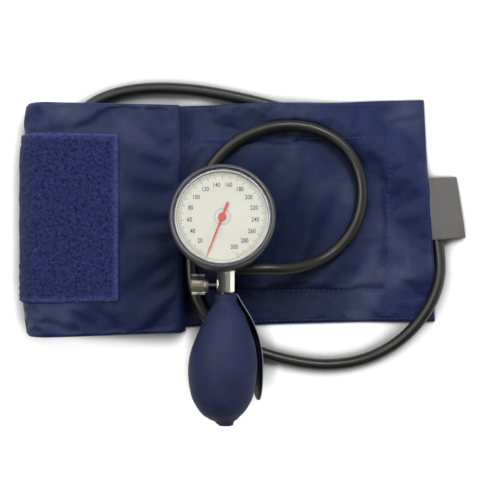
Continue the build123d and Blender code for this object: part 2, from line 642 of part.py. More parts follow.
# Hose: centre points chosen by hand along its lie, in millimetres
HOSE_ROUTE = [
    (UNIT_X + NIPPLE_FACE, SHOULDER_Y + NIPPLE_BACK, UNIT_Z), (13.0, SHOULDER_Y + NIPPLE_BACK, UNIT_Z),
    (31.5, -5.6, 22.0), (54.0, 0.8, 11.2), (72.5, 18.4, 9.1), (79.0, 45.0, 9.1), (71.0, 70.4, 9.1),
    (49.5, 86.0, 9.1), (22.0, 88.8, 9.1), (-5.0, 79.0, 9.1), (-24.4, 58.6, 9.1), (-33.6, 32.0, 9.1),
    (-35.4, 4.0, 9.1), (-33.8, -21.0, 9.1), (-22.0, -40.8, 8.4), (0.6, -55.2, 3.8), (27.0, -64.8, 3.8),
    (57.0, -69.8, 3.8), (86.0, -64.0, 3.8), (111.8, -46.6, 8.4), (129.4, -19.8, 8.4), (130.8, 8.2, 3.8),
    (121.0, 37.2, 3.8), (99.6, 65.4, 3.8), (68.6, 88.4, 3.8), (32.6, 100.4, 3.8), (-2.4, 107.8, 3.8),
    (-35.4, 113.0, 3.8), (-68.0, 113.4, 3.8), (-94.0, 107.2, 4.4), (-109.6, 94.4, 5.4), (-117.4, 84.4, 5.4)]


def hose():
    """Rubber hose from the nipple round to the bladder's port."""
    return tube(HOSE_ROUTE, arc_radii(HOSE_ROUTE), HOSE_R, HOSE_BORE_R)


def port_line():
    """End of the hose and the direction of its last run."""
    before, end = Vector(*HOSE_ROUTE[-2]), Vector(*HOSE_ROUTE[-1])
    along = (end - before).normalized()
    return end, along


# Cuff: one folded shell with the bladder in its pocket
def roll_lines(offset, first_x, top_l=None):
    """Centre line of the folded part, moved outwards by offset, seen along Y."""
    slope = radians(ROLL_SLOPE)
    down = (cos(slope), -sin(slope))
    middle = BASE_Z + LAYER_T / 2
    lines = [Line((first_x, middle - offset), (ROLL_LEFT_X, middle - offset))]
    lines.append(JernArc(lines[-1] @ 1, (-1, 0), FOLD_R + offset, -180 - ROLL_SLOPE))
    start = lines[-1] @ 1
    length = top_l or (ROLL_RIGHT_X - start.X) / down[0]
    lines.append(Line(start, (start.X + down[0] * length, start.Y + down[1] * length)))
    if top_l:
        return lines
    small = (LAYER_T + LAYER_GAP) / 2
    lines.append(JernArc(lines[-1] @ 1, down, small, -180))
    start = lines[-1] @ 1
    length = (start.X - INNER_FOLD_X) / down[0]
    lines.append(Line(start, (start.X - down[0] * length, start.Y - down[1] * length)))
    lines.append(JernArc(lines[-1] @ 1, (-down[0], -down[1]), small, 180))
    start = lines[-1] @ 1
    length = (ROLL_RIGHT_X + 3.0 - start.X) / down[0]
    lines.append(Line(start, (start.X + down[0] * length, start.Y + down[1] * length)))
    return lines


def ribbon(lines, thickness, y_low, y_high):
    """Folded strip: the lines get a thickness and are carried along Y."""
    edges = [edge for line in lines for edge in line.edges()]
    face = Plane.XZ * trace(edges, thickness)
    return Pos(0, y_high, 0) * extrude(face, y_high - y_low)


def pocket(grow):
    """Flat rounded slab of the bladder, grown all round."""
    base = BASE_Z + PLY_T + POCKET_GAP - grow
    flat = Rectangle(BLADDER_L + 2 * grow, BLADDER_W + 2 * grow)
    flat = fillet(flat.vertices().group_by(Axis.X)[-1], 14.0 + grow)
    flat = fillet(flat.vertices().group_by(Axis.X)[0], 3.0 + grow)
    place = Pos(BLADDER_LEFT_X + BLADDER_L / 2, BLADDER_TOP_Y - BLADDER_W / 2, base)
    return place * extrude(flat, BLADDER_T + 2 * grow)


def margin_slab():
    """Two plies of fabric over the whole flat part, turned by the cuff's skew, longer at its lower edge."""
    corner = Pos(ROLL_RIGHT_X, CUFF_TOP_Y - CUFF_W + FLAT_SHIFT_Y, BASE_Z) * Rot(0, 0, CUFF_SKEW)
    outline = Polyline((0, 0), (FLAT_L + FLAT_FLARE, 0), (FLAT_L, CUFF_W), (0, CUFF_W), close=True)
    return corner * extrude(make_face(outline), 2 * PLY_T)


def tunnel_span(radius):
    """Rod along the two hidden stretches of the hose and its port."""
    end, along = port_line()
    right = HOSE_ROUTE[20:27]
    left = HOSE_ROUTE[-3:-1] + [tuple(end + along * 16.0)]
    return [tube(points, arc_radii(points), radius) for points in (right, left)]


def bulges():
    """Fabric standing up over the hidden hose, clipped to the cuff."""
    area = extrude(margin_slab().faces().sort_by(Axis.Z)[-1], 12.0)
    low = CUFF_TOP_Y - CUFF_W
    area += block(ROLL_LEFT_X - 4.0, ROLL_RIGHT_X + 4.0, low, CUFF_TOP_Y, BASE_Z, 14.0)
    return [rod & area for rod in tunnel_span(TUNNEL_R + PLY_T)]


def cuff_shell():
    """Nylon shell: flat part, two big folds, a pocket and the bulge over the hose."""
    shell = ribbon(roll_lines(0.0, ROLL_RIGHT_X + 4.0), LAYER_T, CUFF_TOP_Y - CUFF_W, CUFF_TOP_Y)
    low, high = LOOP_TOP_Y - LOOP_W + 2.5, LOOP_TOP_Y - 2.5
    shell += block(ROLL_RIGHT_X - 5.0, LOOP_RIGHT_X - 2.5, low, high, BASE_Z, FLAT_TOP)
    shell += margin_slab()
    for bulge in bulges():
        shell += bulge
    for hollow in tunnel_span(TUNNEL_R):
        shell -= hollow
    return shell - pocket(POCKET_GAP)


def bladder():
    """Flat rubber bladder with a thin space inside and a neck for its port."""
    end, along = port_line()
    start = end + along * 4.0
    neck = Plane(origin=start, z_dir=along) * extrude(Circle(4.3), 10.0)
    bore = Plane(origin=end, z_dir=along) * extrude(Circle(3.4), 12.0)
    middle = BASE_Z + PLY_T + POCKET_GAP + BLADDER_T / 2
    space = Box(BLADDER_L - 2 * BLADDER_END_SEAM, BLADDER_W - 2 * BLADDER_SIDE_SEAM, BLADDER_SPACE_T)
    place = Pos(BLADDER_LEFT_X + BLADDER_L / 2, BLADDER_TOP_Y - BLADDER_W / 2, middle)
    return pocket(0.0) + neck - bore - place * space


def bladder_port():
    """Rubber stub from the bladder; its spigot goes into the hose."""
    end, along = port_line()
    stub = Plane(origin=end, z_dir=along) * extrude(Circle(3.4), 12.0)
    spigot = Plane(origin=end - along * 9.0, z_dir=along) * extrude(Circle(HOSE_BORE_R - FIT), 9.5)
    bore = Plane(origin=end - along * 10.0, z_dir=along) * extrude(Circle(1.1), 24.0)
    return stub + spigot - bore


def loop_field():
    """Fluffy fastening field on the outside, wrapping the left fold."""
    offset = LAYER_T / 2 + LOOP_T / 2
    low, high = LOOP_TOP_Y - LOOP_W, LOOP_TOP_Y
    strip = ribbon(roll_lines(offset, LOOP_RIGHT_X, LOOP_TOP_L), LOOP_T, low, high)
    area = block(ROLL_LEFT_X, LOOP_RIGHT_X, low, high, 0, 12)
    strip += tunnel_span(HOSE_R + LOOP_T + 0.4)[0] & area
    for hollow in tunnel_span(HOSE_R + 0.4):
        strip -= hollow
    return strip


def hook_patch():
    """Stiff fastening patch under the free end."""
    line = roll_lines(0.0, ROLL_RIGHT_X)[-1]
    end, along = line @ 1, line % 1
    side = Vector(along.Y, -along.X) * (LAYER_T / 2 + HOOK_T / 2)
    first = end - along * (HOOK_L + 3.0) + side
    last = end - along * 3.0 + side
    return ribbon([Line((first.X, first.Y), (last.X, last.Y))], HOOK_T, LOOP_TOP_Y - LOOP_W, LOOP_TOP_Y)


def side_label():
    """Folded woven label at the right edge, lying over the hose."""
    over_hose = HOSE_ROUTE[22][2] + HOSE_R + 0.4 + LABEL_T / 2
    hem = (LABEL_TOP_Y, BASE_Z + PLY_T)
    line = Polyline(hem, (LABEL_TOP_Y - 11.0, over_hose), (LABEL_BOTTOM_Y, over_hose))
    face = Plane.YZ * trace(line, LABEL_T)
    left = ROLL_RIGHT_X + FLAT_L - 3.0
    label = Pos(left, 0, 0) * extrude(face, LABEL_RIGHT_X - left) - margin_slab()
    for bulge in bulges():
        label -= bulge
    return label


# All nodes, each in its place
gauge_nodes = {
    "bezel_ring": bezel_ring(), "crystal": crystal(), "dial_plate": dial_plate(), "pointer": pointer(),
    "crystal_gasket": ring(RING_MOUTH_R + 0.2, RIM_R - 0.2, RIM_RISE + LENS_T, RIM_RISE + LENS_T + GASKET_T),
    "dial_spacer_ring": ring(DIAL_R - SPACER_T, DIAL_R, 0, RIM_RISE),
    "pinion_arbor": pinion_arbor(), "sector_gear": sector_gear(), "rocking_shaft": rocking_shaft(),
    "movement_back_plate": back_plate(), "movement_bridge": front_plate(), "movement_pillars": pillars(),
    "plate_screws": plate_screws(), "bridge_screws": bridge_screws(), "hairspring": hairspring(),
    "capsule_lower_sheet": diaphragm(True), "capsule_upper_sheet": diaphragm(False),
    "capsule_lift_pin": capsule_pin(), "capsule_stem": capsule_stem(), "inlet_tube": inlet_tube(),
    "capsule_screw": capsule_screw()}
valve_nodes = {
    "valve_body": valve_body(), "case_nut": case_nut(), "release_knob": release_knob(),
    "release_needle": needle(), "needle_seal": needle_seal(), "hose_nipple": hose_nipple(),
    "outlet_ball_seat": ball_seat(), "outlet_ball": check_ball(), "outlet_spring": check_spring(),
    "bulb": bulb(), "inlet_valve_body": inlet_body(), "inlet_ball": inlet_ball(), "inlet_cage": inlet_cage(),
    "finger_spoon": spoon()}
for name, solid in gauge_nodes.items():
    nodes[name] = GAUGE * solid
for name, solid in valve_nodes.items():
    nodes[name] = VALVE * solid
nodes["gauge_case"] = gauge_case()
nodes["hose"] = hose()
nodes["cuff_shell"] = cuff_shell()
nodes["bladder"] = bladder()
nodes["bladder_port"] = bladder_port()
nodes["loop_field"] = loop_field()
nodes["hook_patch"] = hook_patch()
nodes["side_label"] = side_label()

for name, solid in nodes.items():
    export_step(solid, f"parts/{name}.step")

path = tube_path(HOSE_ROUTE, arc_radii(HOSE_ROUTE))
section = pi * (HOSE_R ** 2 - HOSE_BORE_R ** 2)
ratio = nodes["hose"].volume / section / path.length
print("hose length", round(path.length, 1), "volume ratio", round(ratio, 4))
print("hose radii", [round(r) for r in arc_radii(HOSE_ROUTE)])
print("hose runs", [round((Vector(*b) - Vector(*a)).length) for a, b in zip(HOSE_ROUTE, HOSE_ROUTE[1:])])
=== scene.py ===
from math import radians

import bmesh
import bpy
import numpy as np
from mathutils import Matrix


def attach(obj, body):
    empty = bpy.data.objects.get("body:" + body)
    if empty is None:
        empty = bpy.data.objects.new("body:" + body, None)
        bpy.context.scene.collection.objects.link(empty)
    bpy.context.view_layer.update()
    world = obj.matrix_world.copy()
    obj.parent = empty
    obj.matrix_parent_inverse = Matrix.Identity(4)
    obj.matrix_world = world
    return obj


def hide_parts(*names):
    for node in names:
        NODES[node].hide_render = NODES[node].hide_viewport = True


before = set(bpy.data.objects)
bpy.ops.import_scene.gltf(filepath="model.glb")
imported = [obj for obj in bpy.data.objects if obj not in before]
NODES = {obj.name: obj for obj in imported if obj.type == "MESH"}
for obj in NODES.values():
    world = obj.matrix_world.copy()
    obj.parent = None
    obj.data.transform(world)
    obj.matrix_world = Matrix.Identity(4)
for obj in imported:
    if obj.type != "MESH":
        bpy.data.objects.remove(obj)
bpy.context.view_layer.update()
MM = 0.001

# Gauge: places and sizes are in millimetres, as the frame has them
DIAL_CENTRE = np.array([-13.1, 27.2, 46.0])
GAUGE_TILT = 10.0
RIM_R = 31.6
RING_R = 32.8
RING_TOP = 3.7
RING_LIP_Z = 3.3
RING_MOUTH_R = 30.2
RING_SKIRT = 3.0

# Valve, bulb and finger lever
UNIT_X = -11.3
UNIT_Z = 27.5
SHOULDER_Y = -19.8
VALVE_FLATS = 11.0
BARB_R = 4.0
BULB_L = 82.0
BULB_BELLY_R = 21.6
BULB_NECK_R = 6.3
BULB_COLLAR_R = 7.0
BULB_FOOT = 1.2
BULB_LEAN = 2.2
INLET_R = 4.0
SPOON_L = 71.4
SPOON_W = 12.0
SPOON_ROOT_W = 6.8
SPOON_T = 1.1
SPOON_REACH = 25.6
SPOON_ANGLE = -35.0

# Cuff: folded end and laid-out end
CUFF_W = 144.0
CUFF_TOP_Y = 98.6
CUFF_LOW_Y = CUFF_TOP_Y - CUFF_W
CUFF_SKEW = 1.5
BASE_Z = 1.0
PLY_T = 0.8
LAYER_T = 3.6
LAYER_GAP = 0.2
ROLL_RIGHT_X = -43.0
ROLL_LEFT_X = -127.7
ROLL_SLOPE = 8.3
FOLD_R = 12.7
INNER_FOLD_X = -118.0
FLAT_L = 166.0
FLAT_FLARE = 3.6
FLAT_LOW_Y = CUFF_LOW_Y + 1.2

# Middle of the painted shade on the nylon, by the gauge, in plan
PAINTED_SHADE_MIDDLE = (-12.0, 0.0)

# Loop pile, sewn pad, bladder and label
LOOP_T = 1.0
LOOP_W = 105.0
LOOP_TOP_Y = 79.6
LOOP_LOW_Y = LOOP_TOP_Y - LOOP_W
LOOP_RIGHT_X = 96.0
LOOP_TOP_L = 46.0
PAD_TOP_Y = 79.6
PAD_LOW_Y = -20.2
PAD_RIGHT_X = 95.6
PAD_Z = 5.0
BLADDER_TOP_Y = 76.0
BLADDER_LOW_Y = -18.0
BLADDER_RIGHT_X = 71.6
BLADDER_Z = 4.0
LABEL_LEFT = ((118.2, 54.0), (120.6, 12.6))
LABEL_RIGHT = ((140.8, 54.6), (146.6, 14.4))
LABEL_T = 0.9

# Threads
STITCH_PITCH = 3.3
STITCH_L = 2.5
HEM_THREAD_R = 0.17
PAD_THREAD_R = 0.26
PILE_THREAD_R = 0.3

# Hose
HOSE_R = 3.75
HOSE_ROUTE = [
    (-4.8, -5.2, 27.5), (13.0, -5.2, 27.5), (31.5, -5.6, 22.0), (54.0, 0.8, 11.2), (72.5, 18.4, 9.1),
    (79.0, 45.0, 9.1), (71.0, 70.4, 9.1), (49.5, 86.0, 9.1), (22.0, 88.8, 9.1), (-5.0, 79.0, 9.1),
    (-24.4, 58.6, 9.1), (-33.6, 32.0, 9.1), (-35.4, 4.0, 9.1), (-33.8, -21.0, 9.1), (-22.4, -42.0, 8.4),
    (0.4, -57.4, 3.8), (27.0, -66.2, 3.8), (57.0, -70.4, 3.8), (86.0, -64.6, 3.8), (111.0, -46.8, 8.4),
    (128.0, -19.8, 8.4), (129.6, 8.2, 3.8), (121.0, 37.2, 3.8), (99.6, 64.4, 3.8), (68.6, 86.2, 3.8),
    (31.6, 98.0, 3.8), (-2.4, 106.8, 3.8), (-35.4, 112.6, 3.8), (-68.0, 113.2, 3.8), (-94.0, 106.8, 4.4),
    (-109.6, 94.4, 5.4), (-117.4, 84.4, 5.4)]

# Cloth simulation, and where in the noise the waves, puckers and clumps of pile begin
CLOTH_FRAMES = 24
CLOTH_SCALE = 10.0
NOISE_AT = 300.0
PILE_NOISE_AT = 99.0

# How the object is seen
CAMERA_AT = (-0.0023, 0.01295, 0.600)
CAMERA_LENS = 67.9


# Mesh helpers: grids of points become closed surfaces
def add_object(name, data):
    """A new object at the origin of the scene."""
    made = bpy.data.objects.new(name, data)
    bpy.context.scene.collection.objects.link(made)
    return made


def vertex_places(mesh):
    """The places of a mesh's vertices, one row each."""
    places = np.empty(len(mesh.vertices) * 3, dtype=np.float32)
    mesh.vertices.foreach_get("co", places)
    return places.reshape(-1, 3).astype(float)


def grid_faces(nu, nv, wrap_u=False, wrap_v=False):
    """Quads between neighbouring points of a grid with nu rows of nv points."""
    row = np.arange(nu if wrap_u else nu - 1)[:, None]
    col = np.arange(nv if wrap_v else nv - 1)[None, :]
    next_row, next_col = (row + 1) % nu, (col + 1) % nv
    corners = [row * nv + col, next_row * nv + col, next_row * nv + next_col, row * nv + next_col]
    return np.stack(np.broadcast_arrays(*corners), -1).reshape(-1, 4)


def turned_out(points, faces):
    """The faces, turned over if the volume that they enclose comes out negative."""
    a, b, c, d = (points[faces[:, k]] for k in range(4))
    volume = (a * np.cross(b, c)).sum() + (a * np.cross(c, d)).sum()
    return faces[:, ::-1] if volume < 0 else faces


def mesh_piece(name, points, faces, uv=None, sharp=50.0):
    """An object from points in millimetres and quads, smooth except at edges sharper than an angle."""
    faces = turned_out(points, faces)
    mesh = bpy.data.meshes.new(name)
    mesh.vertices.add(len(points))
    mesh.vertices.foreach_set("co", (points * MM).astype(np.float32).ravel())
    mesh.loops.add(faces.size)
    mesh.loops.foreach_set("vertex_index", faces.astype(np.int32).ravel())
    mesh.polygons.add(len(faces))
    mesh.polygons.foreach_set("loop_start", np.arange(0, faces.size, 4, dtype=np.int32))
    mesh.polygons.foreach_set("loop_total", np.full(len(faces), 4, dtype=np.int32))
    mesh.polygons.foreach_set("use_smooth", np.ones(len(faces), dtype=bool))
    if uv is not None:
        layer = mesh.uv_layers.new(name="cloth")
        layer.data.foreach_set("uv", uv[faces.ravel()].astype(np.float32).ravel())
    mesh.validate()
    mesh.update(calc_edges=True)
    mesh.set_sharp_from_angle(angle=radians(sharp))
    return add_object(name, mesh)


def merge_poles(piece):
    """Points that fall together, as at the poles of a turned shape, become one."""
    work = bmesh.new()
    work.from_mesh(piece.data)
    bmesh.ops.remove_doubles(work, verts=work.verts, dist=1e-7)
    work.to_mesh(piece.data)
    work.free()
    return piece


def closed_sheet(name, top, bottom, uv, sharp):
    """Two grids of the same shape, joined round their border into one closed sheet."""
    nu, nv = top.shape[:2]
    loop = np.concatenate([top, bottom[:, ::-1]], axis=1)
    loop_uv = np.concatenate([uv, uv[:, ::-1]], axis=1)
    faces = [grid_faces(nu, 2 * nv, wrap_v=True)]
    for row, turn in ((0, 1), (nu - 1, -1)):
        col = np.arange(nv - 1)
        cap = np.stack([col, col + 1, 2 * nv - 2 - col, 2 * nv - 1 - col], -1) + row * 2 * nv
        faces.append(cap[:, ::turn])
    return mesh_piece(name, loop.reshape(-1, 3), np.concatenate(faces), loop_uv.reshape(-1, 2), sharp)


def value_noise(x, y, size, seed):
    """Smooth noise: seeded random numbers on a square lattice of that size, blended by a cubic ease."""
    table = np.random.default_rng(seed).uniform(-1.0, 1.0, (64, 64))
    column, line = x / size, y / size
    i, j = np.floor(column).astype(int), np.floor(line).astype(int)
    a, b = column - i, line - j
    a, b = a * a * (3 - 2 * a), b * b * (3 - 2 * b)
    i, next_i, j, next_j = i % 64, (i + 1) % 64, j % 64, (j + 1) % 64
    low = table[i, j] * (1 - a) + table[next_i, j] * a
    high = table[i, next_j] * (1 - a) + table[next_i, next_j] * a
    return low * (1 - b) + high * b


def ease(x, low, high):
    """Rises smoothly from 0 at low to 1 at high."""
    t = np.clip((x - low) / (high - low), 0.0, 1.0)
    return t * t * (3 - 2 * t)


def unit(vectors):
    """Vectors of length one along the last axis."""
    return vectors / np.maximum(np.linalg.norm(vectors, axis=-1, keepdims=True), 1e-12)


def gauge_place(points):
    """Points in the dial's own frame, tilted back and moved to the dial's place."""
    turn = radians(-GAUGE_TILT)
    c, s = np.cos(turn), np.sin(turn)
    x, y, z = points[..., 0], points[..., 1], points[..., 2]
    return np.stack([x, y * c - z * s, y * s + z * c], -1) + DIAL_CENTRE


def valve_place(points):
    """Points with Z along the bulb's axis, laid down so that Z runs towards -Y."""
    x, y, z = points[..., 0], points[..., 1], points[..., 2]
    return np.stack([x + UNIT_X, SHOULDER_Y - z, y + UNIT_Z], -1)


def turned(name, profile, place, around, dent=None, closed=False):
    """Surface of revolution: each profile point (radius, height) is carried round Z."""
    profile = np.asarray(profile, dtype=float)
    angle = np.linspace(0, 2 * np.pi, around, endpoint=False)[None, :]
    radius, height = profile[:, :1], profile[:, 1:] + 0 * angle
    if dent is not None:
        radius = radius + dent(angle, height)
    points = np.stack([radius * np.cos(angle), radius * np.sin(angle), height], -1)
    faces = grid_faces(len(profile), around, wrap_u=closed, wrap_v=True)
    return merge_poles(mesh_piece(name, place(points).reshape(-1, 3), faces))


def arc(centre, radii, first, last, count):
    """Points of an elliptical arc between two angles in degrees."""
    angle = np.radians(np.linspace(first, last, count))
    return np.stack([centre[0] + radii[0] * np.cos(angle), centre[1] + radii[1] * np.sin(angle)], -1)


def smooth_curve(knots, count):
    """Catmull-Rom curve through the knots, evenly spaced in its parameter."""
    knots = np.asarray(knots, dtype=float)
    ends = np.concatenate([[2 * knots[0] - knots[1]], knots, [2 * knots[-1] - knots[-2]]])
    t = np.linspace(0, len(knots) - 1 - 1e-9, count)
    i = t.astype(int)
    f = (t - i)[:, None]
    p0, p1, p2, p3 = ends[i], ends[i + 1], ends[i + 2], ends[i + 3]
    return 0.5 * (2 * p1 + (p2 - p0) * f + (2 * p0 - 5 * p1 + 4 * p2 - p3) * f ** 2
                  + (3 * p1 - p0 - 3 * p2 + p3) * f ** 3)


# Material helpers
def add_node(tree, kind, inputs=None, **settings):
    """A node with its settings and inputs; an input is a number, a colour or another node's output."""
    made = tree.nodes.new(kind)
    for key, value in settings.items():
        setattr(made, key, value)
    for key, value in (inputs or {}).items():
        if isinstance(value, bpy.types.NodeSocket):
            tree.links.new(value, made.inputs[key])
        else:
            made.inputs[key].default_value = value
    return made


def maths(tree, operation, a, b=0.0):
    """Output of one arithmetic node."""
    return add_node(tree, "ShaderNodeMath", {0: a, 1: b}, operation=operation).outputs[0]


def plus(tree, a, b):
    """Output of a sum."""
    return maths(tree, "ADD", a, b)


def minus(tree, a, b):
    """Output of a difference."""
    return maths(tree, "SUBTRACT", a, b)


def times(tree, a, b):
    """Output of a product."""
    return maths(tree, "MULTIPLY", a, b)


def stretch(tree, value, low, high, new_low=0.0, new_high=1.0):
    """Output of a clamped Map Range."""
    keys = {0: value, 1: low, 2: high, 3: new_low, 4: new_high}
    return add_node(tree, "ShaderNodeMapRange", keys).outputs[0]


def blend_colour(tree, factor, a, b):
    """Output of a mix between two colours, each three numbers or another node's output."""
    mix = add_node(tree, "ShaderNodeMix", {0: factor}, data_type="RGBA")
    for socket, value in ((mix.inputs[6], a), (mix.inputs[7], b)):
        if isinstance(value, bpy.types.NodeSocket):
            tree.links.new(value, socket)
        else:
            socket.default_value = (*value, 1)
    return mix.outputs[2]


def noise(tree, vector, scale, detail, **more):
    """Value of a noise texture."""
    keys = {"Vector": vector, "Scale": scale, "Detail": detail, **more}
    return add_node(tree, "ShaderNodeTexNoise", keys).outputs["Fac"]


def coordinates(tree, source="Object"):
    """Places on the object, or another of the texture coordinates."""
    return add_node(tree, "ShaderNodeTexCoord").outputs[source]


def axes(tree, vector):
    """X, Y and Z of a vector."""
    return add_node(tree, "ShaderNodeSeparateXYZ", {0: vector}).outputs


def group(name, inputs, outputs):
    """An empty node group with float or vector inputs and float outputs."""
    tree = bpy.data.node_groups.new(name, "ShaderNodeTree")
    for key, value in inputs.items():
        kind = "NodeSocketVector" if value is None else "NodeSocketFloat"
        socket = tree.interface.new_socket(key, in_out="INPUT", socket_type=kind)
        if value is not None:
            socket.default_value = value
    for key in outputs:
        tree.interface.new_socket(key, in_out="OUTPUT", socket_type="NodeSocketFloat")
    return tree, tree.nodes.new("NodeGroupInput").outputs, tree.nodes.new("NodeGroupOutput").inputs


def use_group(tree, which, vector, **values):
    """Outputs of a shared node group, placed with its own values."""
    return add_node(tree, "ShaderNodeGroup", {"Vector": vector, **values}, node_tree=which).outputs


def weave_group():
    """Plain weave: threads along both directions of the cloth, over and under by turns."""
    tree, given, wanted = group("plain_weave", {"Vector": None, "Pitch": 0.0005}, ["Height", "Over"])
    pitch = add_node(tree, "ShaderNodeCombineXYZ", {0: given["Pitch"], 1: given["Pitch"], 2: 1.0})
    keys = {0: given["Vector"], 1: pitch.outputs[0]}
    cell = axes(tree, add_node(tree, "ShaderNodeVectorMath", keys, operation="DIVIDE").outputs[0])
    rounded = [maths(tree, "ABSOLUTE", maths(tree, "SINE", times(tree, cell[k], np.pi))) for k in (0, 1)]
    index = plus(tree, *[maths(tree, "FLOOR", cell[k]) for k in (0, 1)])
    over = maths(tree, "FLOORED_MODULO", index, 2.0)
    crossing = times(tree, maths(tree, "SQRT", rounded[0]), maths(tree, "SQRT", rounded[1]))
    along = times(tree, over, rounded[0])
    across = times(tree, minus(tree, 1.0, over), rounded[1])
    tree.links.new(times(tree, crossing, plus(tree, along, across)), wanted["Height"])
    tree.links.new(over, wanted["Over"])
    return tree


def grain_group():
    """Fine grain and broad patches, for moulded, rubbed and plated surfaces."""
    tree, given, wanted = group("fine_grain", {"Vector": None, "Size": 0.0004}, ["Height", "Patch"])
    scale = maths(tree, "DIVIDE", 1.0, given["Size"])
    tree.links.new(noise(tree, given["Vector"], scale, 3.0), wanted["Height"])
    tree.links.new(noise(tree, given["Vector"], times(tree, scale, 0.03), 4.0), wanted["Patch"])
    return tree


WEAVE = weave_group()
GRAIN = grain_group()


def material(name, roughness, **constants):
    """A material, its tree and its shader, with constants set on the shader's own sockets."""
    made = bpy.data.materials.new(name)
    made.use_nodes = True
    tree = made.node_tree
    shader = tree.nodes["Principled BSDF"]
    shader.inputs["Roughness"].default_value = roughness
    for key, value in constants.items():
        shader.inputs[key.replace("_", " ")].default_value = value
    return made, tree, shader


def paint(tree, shader, colour):
    """Colour of the surface, from a node's output."""
    tree.links.new(colour, shader.inputs["Base Color"])


def bump(tree, shader, height, distance, strength=1.0):
    """Relief of that depth, in metres, into the shader's normal."""
    made = add_node(tree, "ShaderNodeBump", {"Height": height, "Distance": distance, "Strength": strength})
    tree.links.new(made.outputs[0], shader.inputs["Normal"])


# Finishes
def moulded(name, colour, worn, roughness, size=0.0004, depth=0.00002, **constants):
    """Moulded, cast or painted surface: fine grain, and patches that differ a little in tone and gloss."""
    made, tree, shader = material(name, roughness, **constants)
    grain = use_group(tree, GRAIN, coordinates(tree), Size=size)
    paint(tree, shader, blend_colour(tree, stretch(tree, grain["Patch"], 0.35, 0.7), colour, worn))
    rough = stretch(tree, grain["Patch"], 0.3, 0.75, roughness * 0.88, min(1.0, roughness * 1.15))
    tree.links.new(rough, shader.inputs["Roughness"])
    bump(tree, shader, grain["Height"], depth)
    return made


def metal(name, colour, roughness):
    """Plated or turned metal with a very fine grain and smudges."""
    made, tree, shader = material(name, roughness, Metallic=1.0)
    grain = use_group(tree, GRAIN, coordinates(tree), Size=0.0003)
    dull = tuple(0.82 * c for c in colour)
    paint(tree, shader, blend_colour(tree, stretch(tree, grain["Patch"], 0.35, 0.75), colour, dull))
    rough = stretch(tree, grain["Patch"], 0.3, 0.8, roughness * 0.7, roughness * 1.5)
    tree.links.new(rough, shader.inputs["Roughness"])
    bump(tree, shader, grain["Height"], 0.000004)
    return made


def crowned_chrome():
    """Chrome on the valve's flats, which polishing has left slightly crowned from edge to edge."""
    made = metal("crowned_chrome", (0.60, 0.585, 0.52), 0.1)
    tree = made.node_tree
    away = maths(tree, "ABSOLUTE", minus(tree, axes(tree, coordinates(tree))[0], UNIT_X * MM))
    away = maths(tree, "MINIMUM", away, VALVE_FLATS / 2 * MM)
    wave = maths(tree, "SINE", times(tree, away, 2 * np.pi / (VALVE_FLATS * MM)))
    bump(tree, tree.nodes["Principled BSDF"], wave, 0.00022)
    return made


def bare_edges(made):
    """Painted highlight along both edges of a strip, whose U runs from -1 to 1 across it."""
    tree = made.node_tree
    shader = tree.nodes["Principled BSDF"]
    whole = shader.inputs["Base Color"].links[0].from_socket
    across = maths(tree, "ABSOLUTE", axes(tree, coordinates(tree, "UV"))[0])
    # Painted highlight: the strip's edges are lighter.
    edge = stretch(tree, across, 0.93, 0.97, 0.0, 0.8)
    paint(tree, shader, blend_colour(tree, edge, whole, (0.42, 0.47, 0.62)))
    return made


def navy_nylon():
    """Nylon cloth: plain weave that shows more in some patches, and paler in random patches where the coating
    is rubbed and in a painted sheen towards the upper left.

    Painted shade makes it deepest in tone around the middle of the object, by the gauge, fading towards the
    cuff's edges; the weave carries painted shade in its gaps and a painted glint on its threads."""
    made, tree, shader = material("navy_nylon", 0.5, Specular_IOR_Level=0.14, Sheen_Weight=0.02)
    weave = use_group(tree, WEAVE, coordinates(tree, "UV"), Pitch=0.0009)
    place = coordinates(tree)
    at = axes(tree, place)
    # Painted shade: the cloth is darker round the gauge, in the middle of the object, and lightens towards
    # the cuff's edges.
    away = [maths(tree, "POWER", minus(tree, at[k], PAINTED_SHADE_MIDDLE[k] * MM), 2.0) for k in (0, 1)]
    out_of_painted_shade = stretch(tree, maths(tree, "SQRT", plus(tree, *away)), 0.052, 0.13)
    navy_with_painted_shade = blend_colour(tree, out_of_painted_shade, (0.0028, 0.0082, 0.044), (0.0130, 0.0222, 0.086))
    # Random patches of rubbed coating, plus a painted sheen that pales the cloth towards the upper left; both
    # are held back where the painted shade lies.
    corner = minus(tree, at[1], times(tree, at[0], 0.5))
    wear_and_sheen = plus(tree, noise(tree, place, 17.0, 5.0), stretch(tree, corner, 0.05, 0.16, 0.0, 0.13))
    rubbed = times(tree, stretch(tree, wear_and_sheen, 0.46, 0.72), stretch(tree, out_of_painted_shade, 0.0, 1.0, 0.1, 1.0))
    cloth = blend_colour(tree, rubbed, navy_with_painted_shade, (0.037, 0.052, 0.128))
    patches = stretch(tree, noise(tree, place, 34.0, 2.0), 0.40, 0.62)
    shown = times(tree, patches, stretch(tree, rubbed, 0.05, 0.55, 0.06, 1.0))
    # Painted shade in the gaps between the threads, and a painted glint on the threads that lie over, where
    # the weave shows.
    gaps = times(tree, shown, stretch(tree, weave["Height"], 0.0, 0.9, 1.0, 0.0))
    with_gap_shade = blend_colour(tree, gaps, cloth, (0.004, 0.006, 0.028))
    warp_glint = times(tree, times(tree, weave["Over"], shown), 0.8)
    paint(tree, shader, blend_colour(tree, warp_glint, with_gap_shade, (0.105, 0.125, 0.235)))
    creases = noise(tree, place, 75.0, 3.0, Distortion=0.6)
    bump(tree, shader, plus(tree, creases, times(tree, weave["Height"], 0.12)), 0.0012, 0.6)
    return made


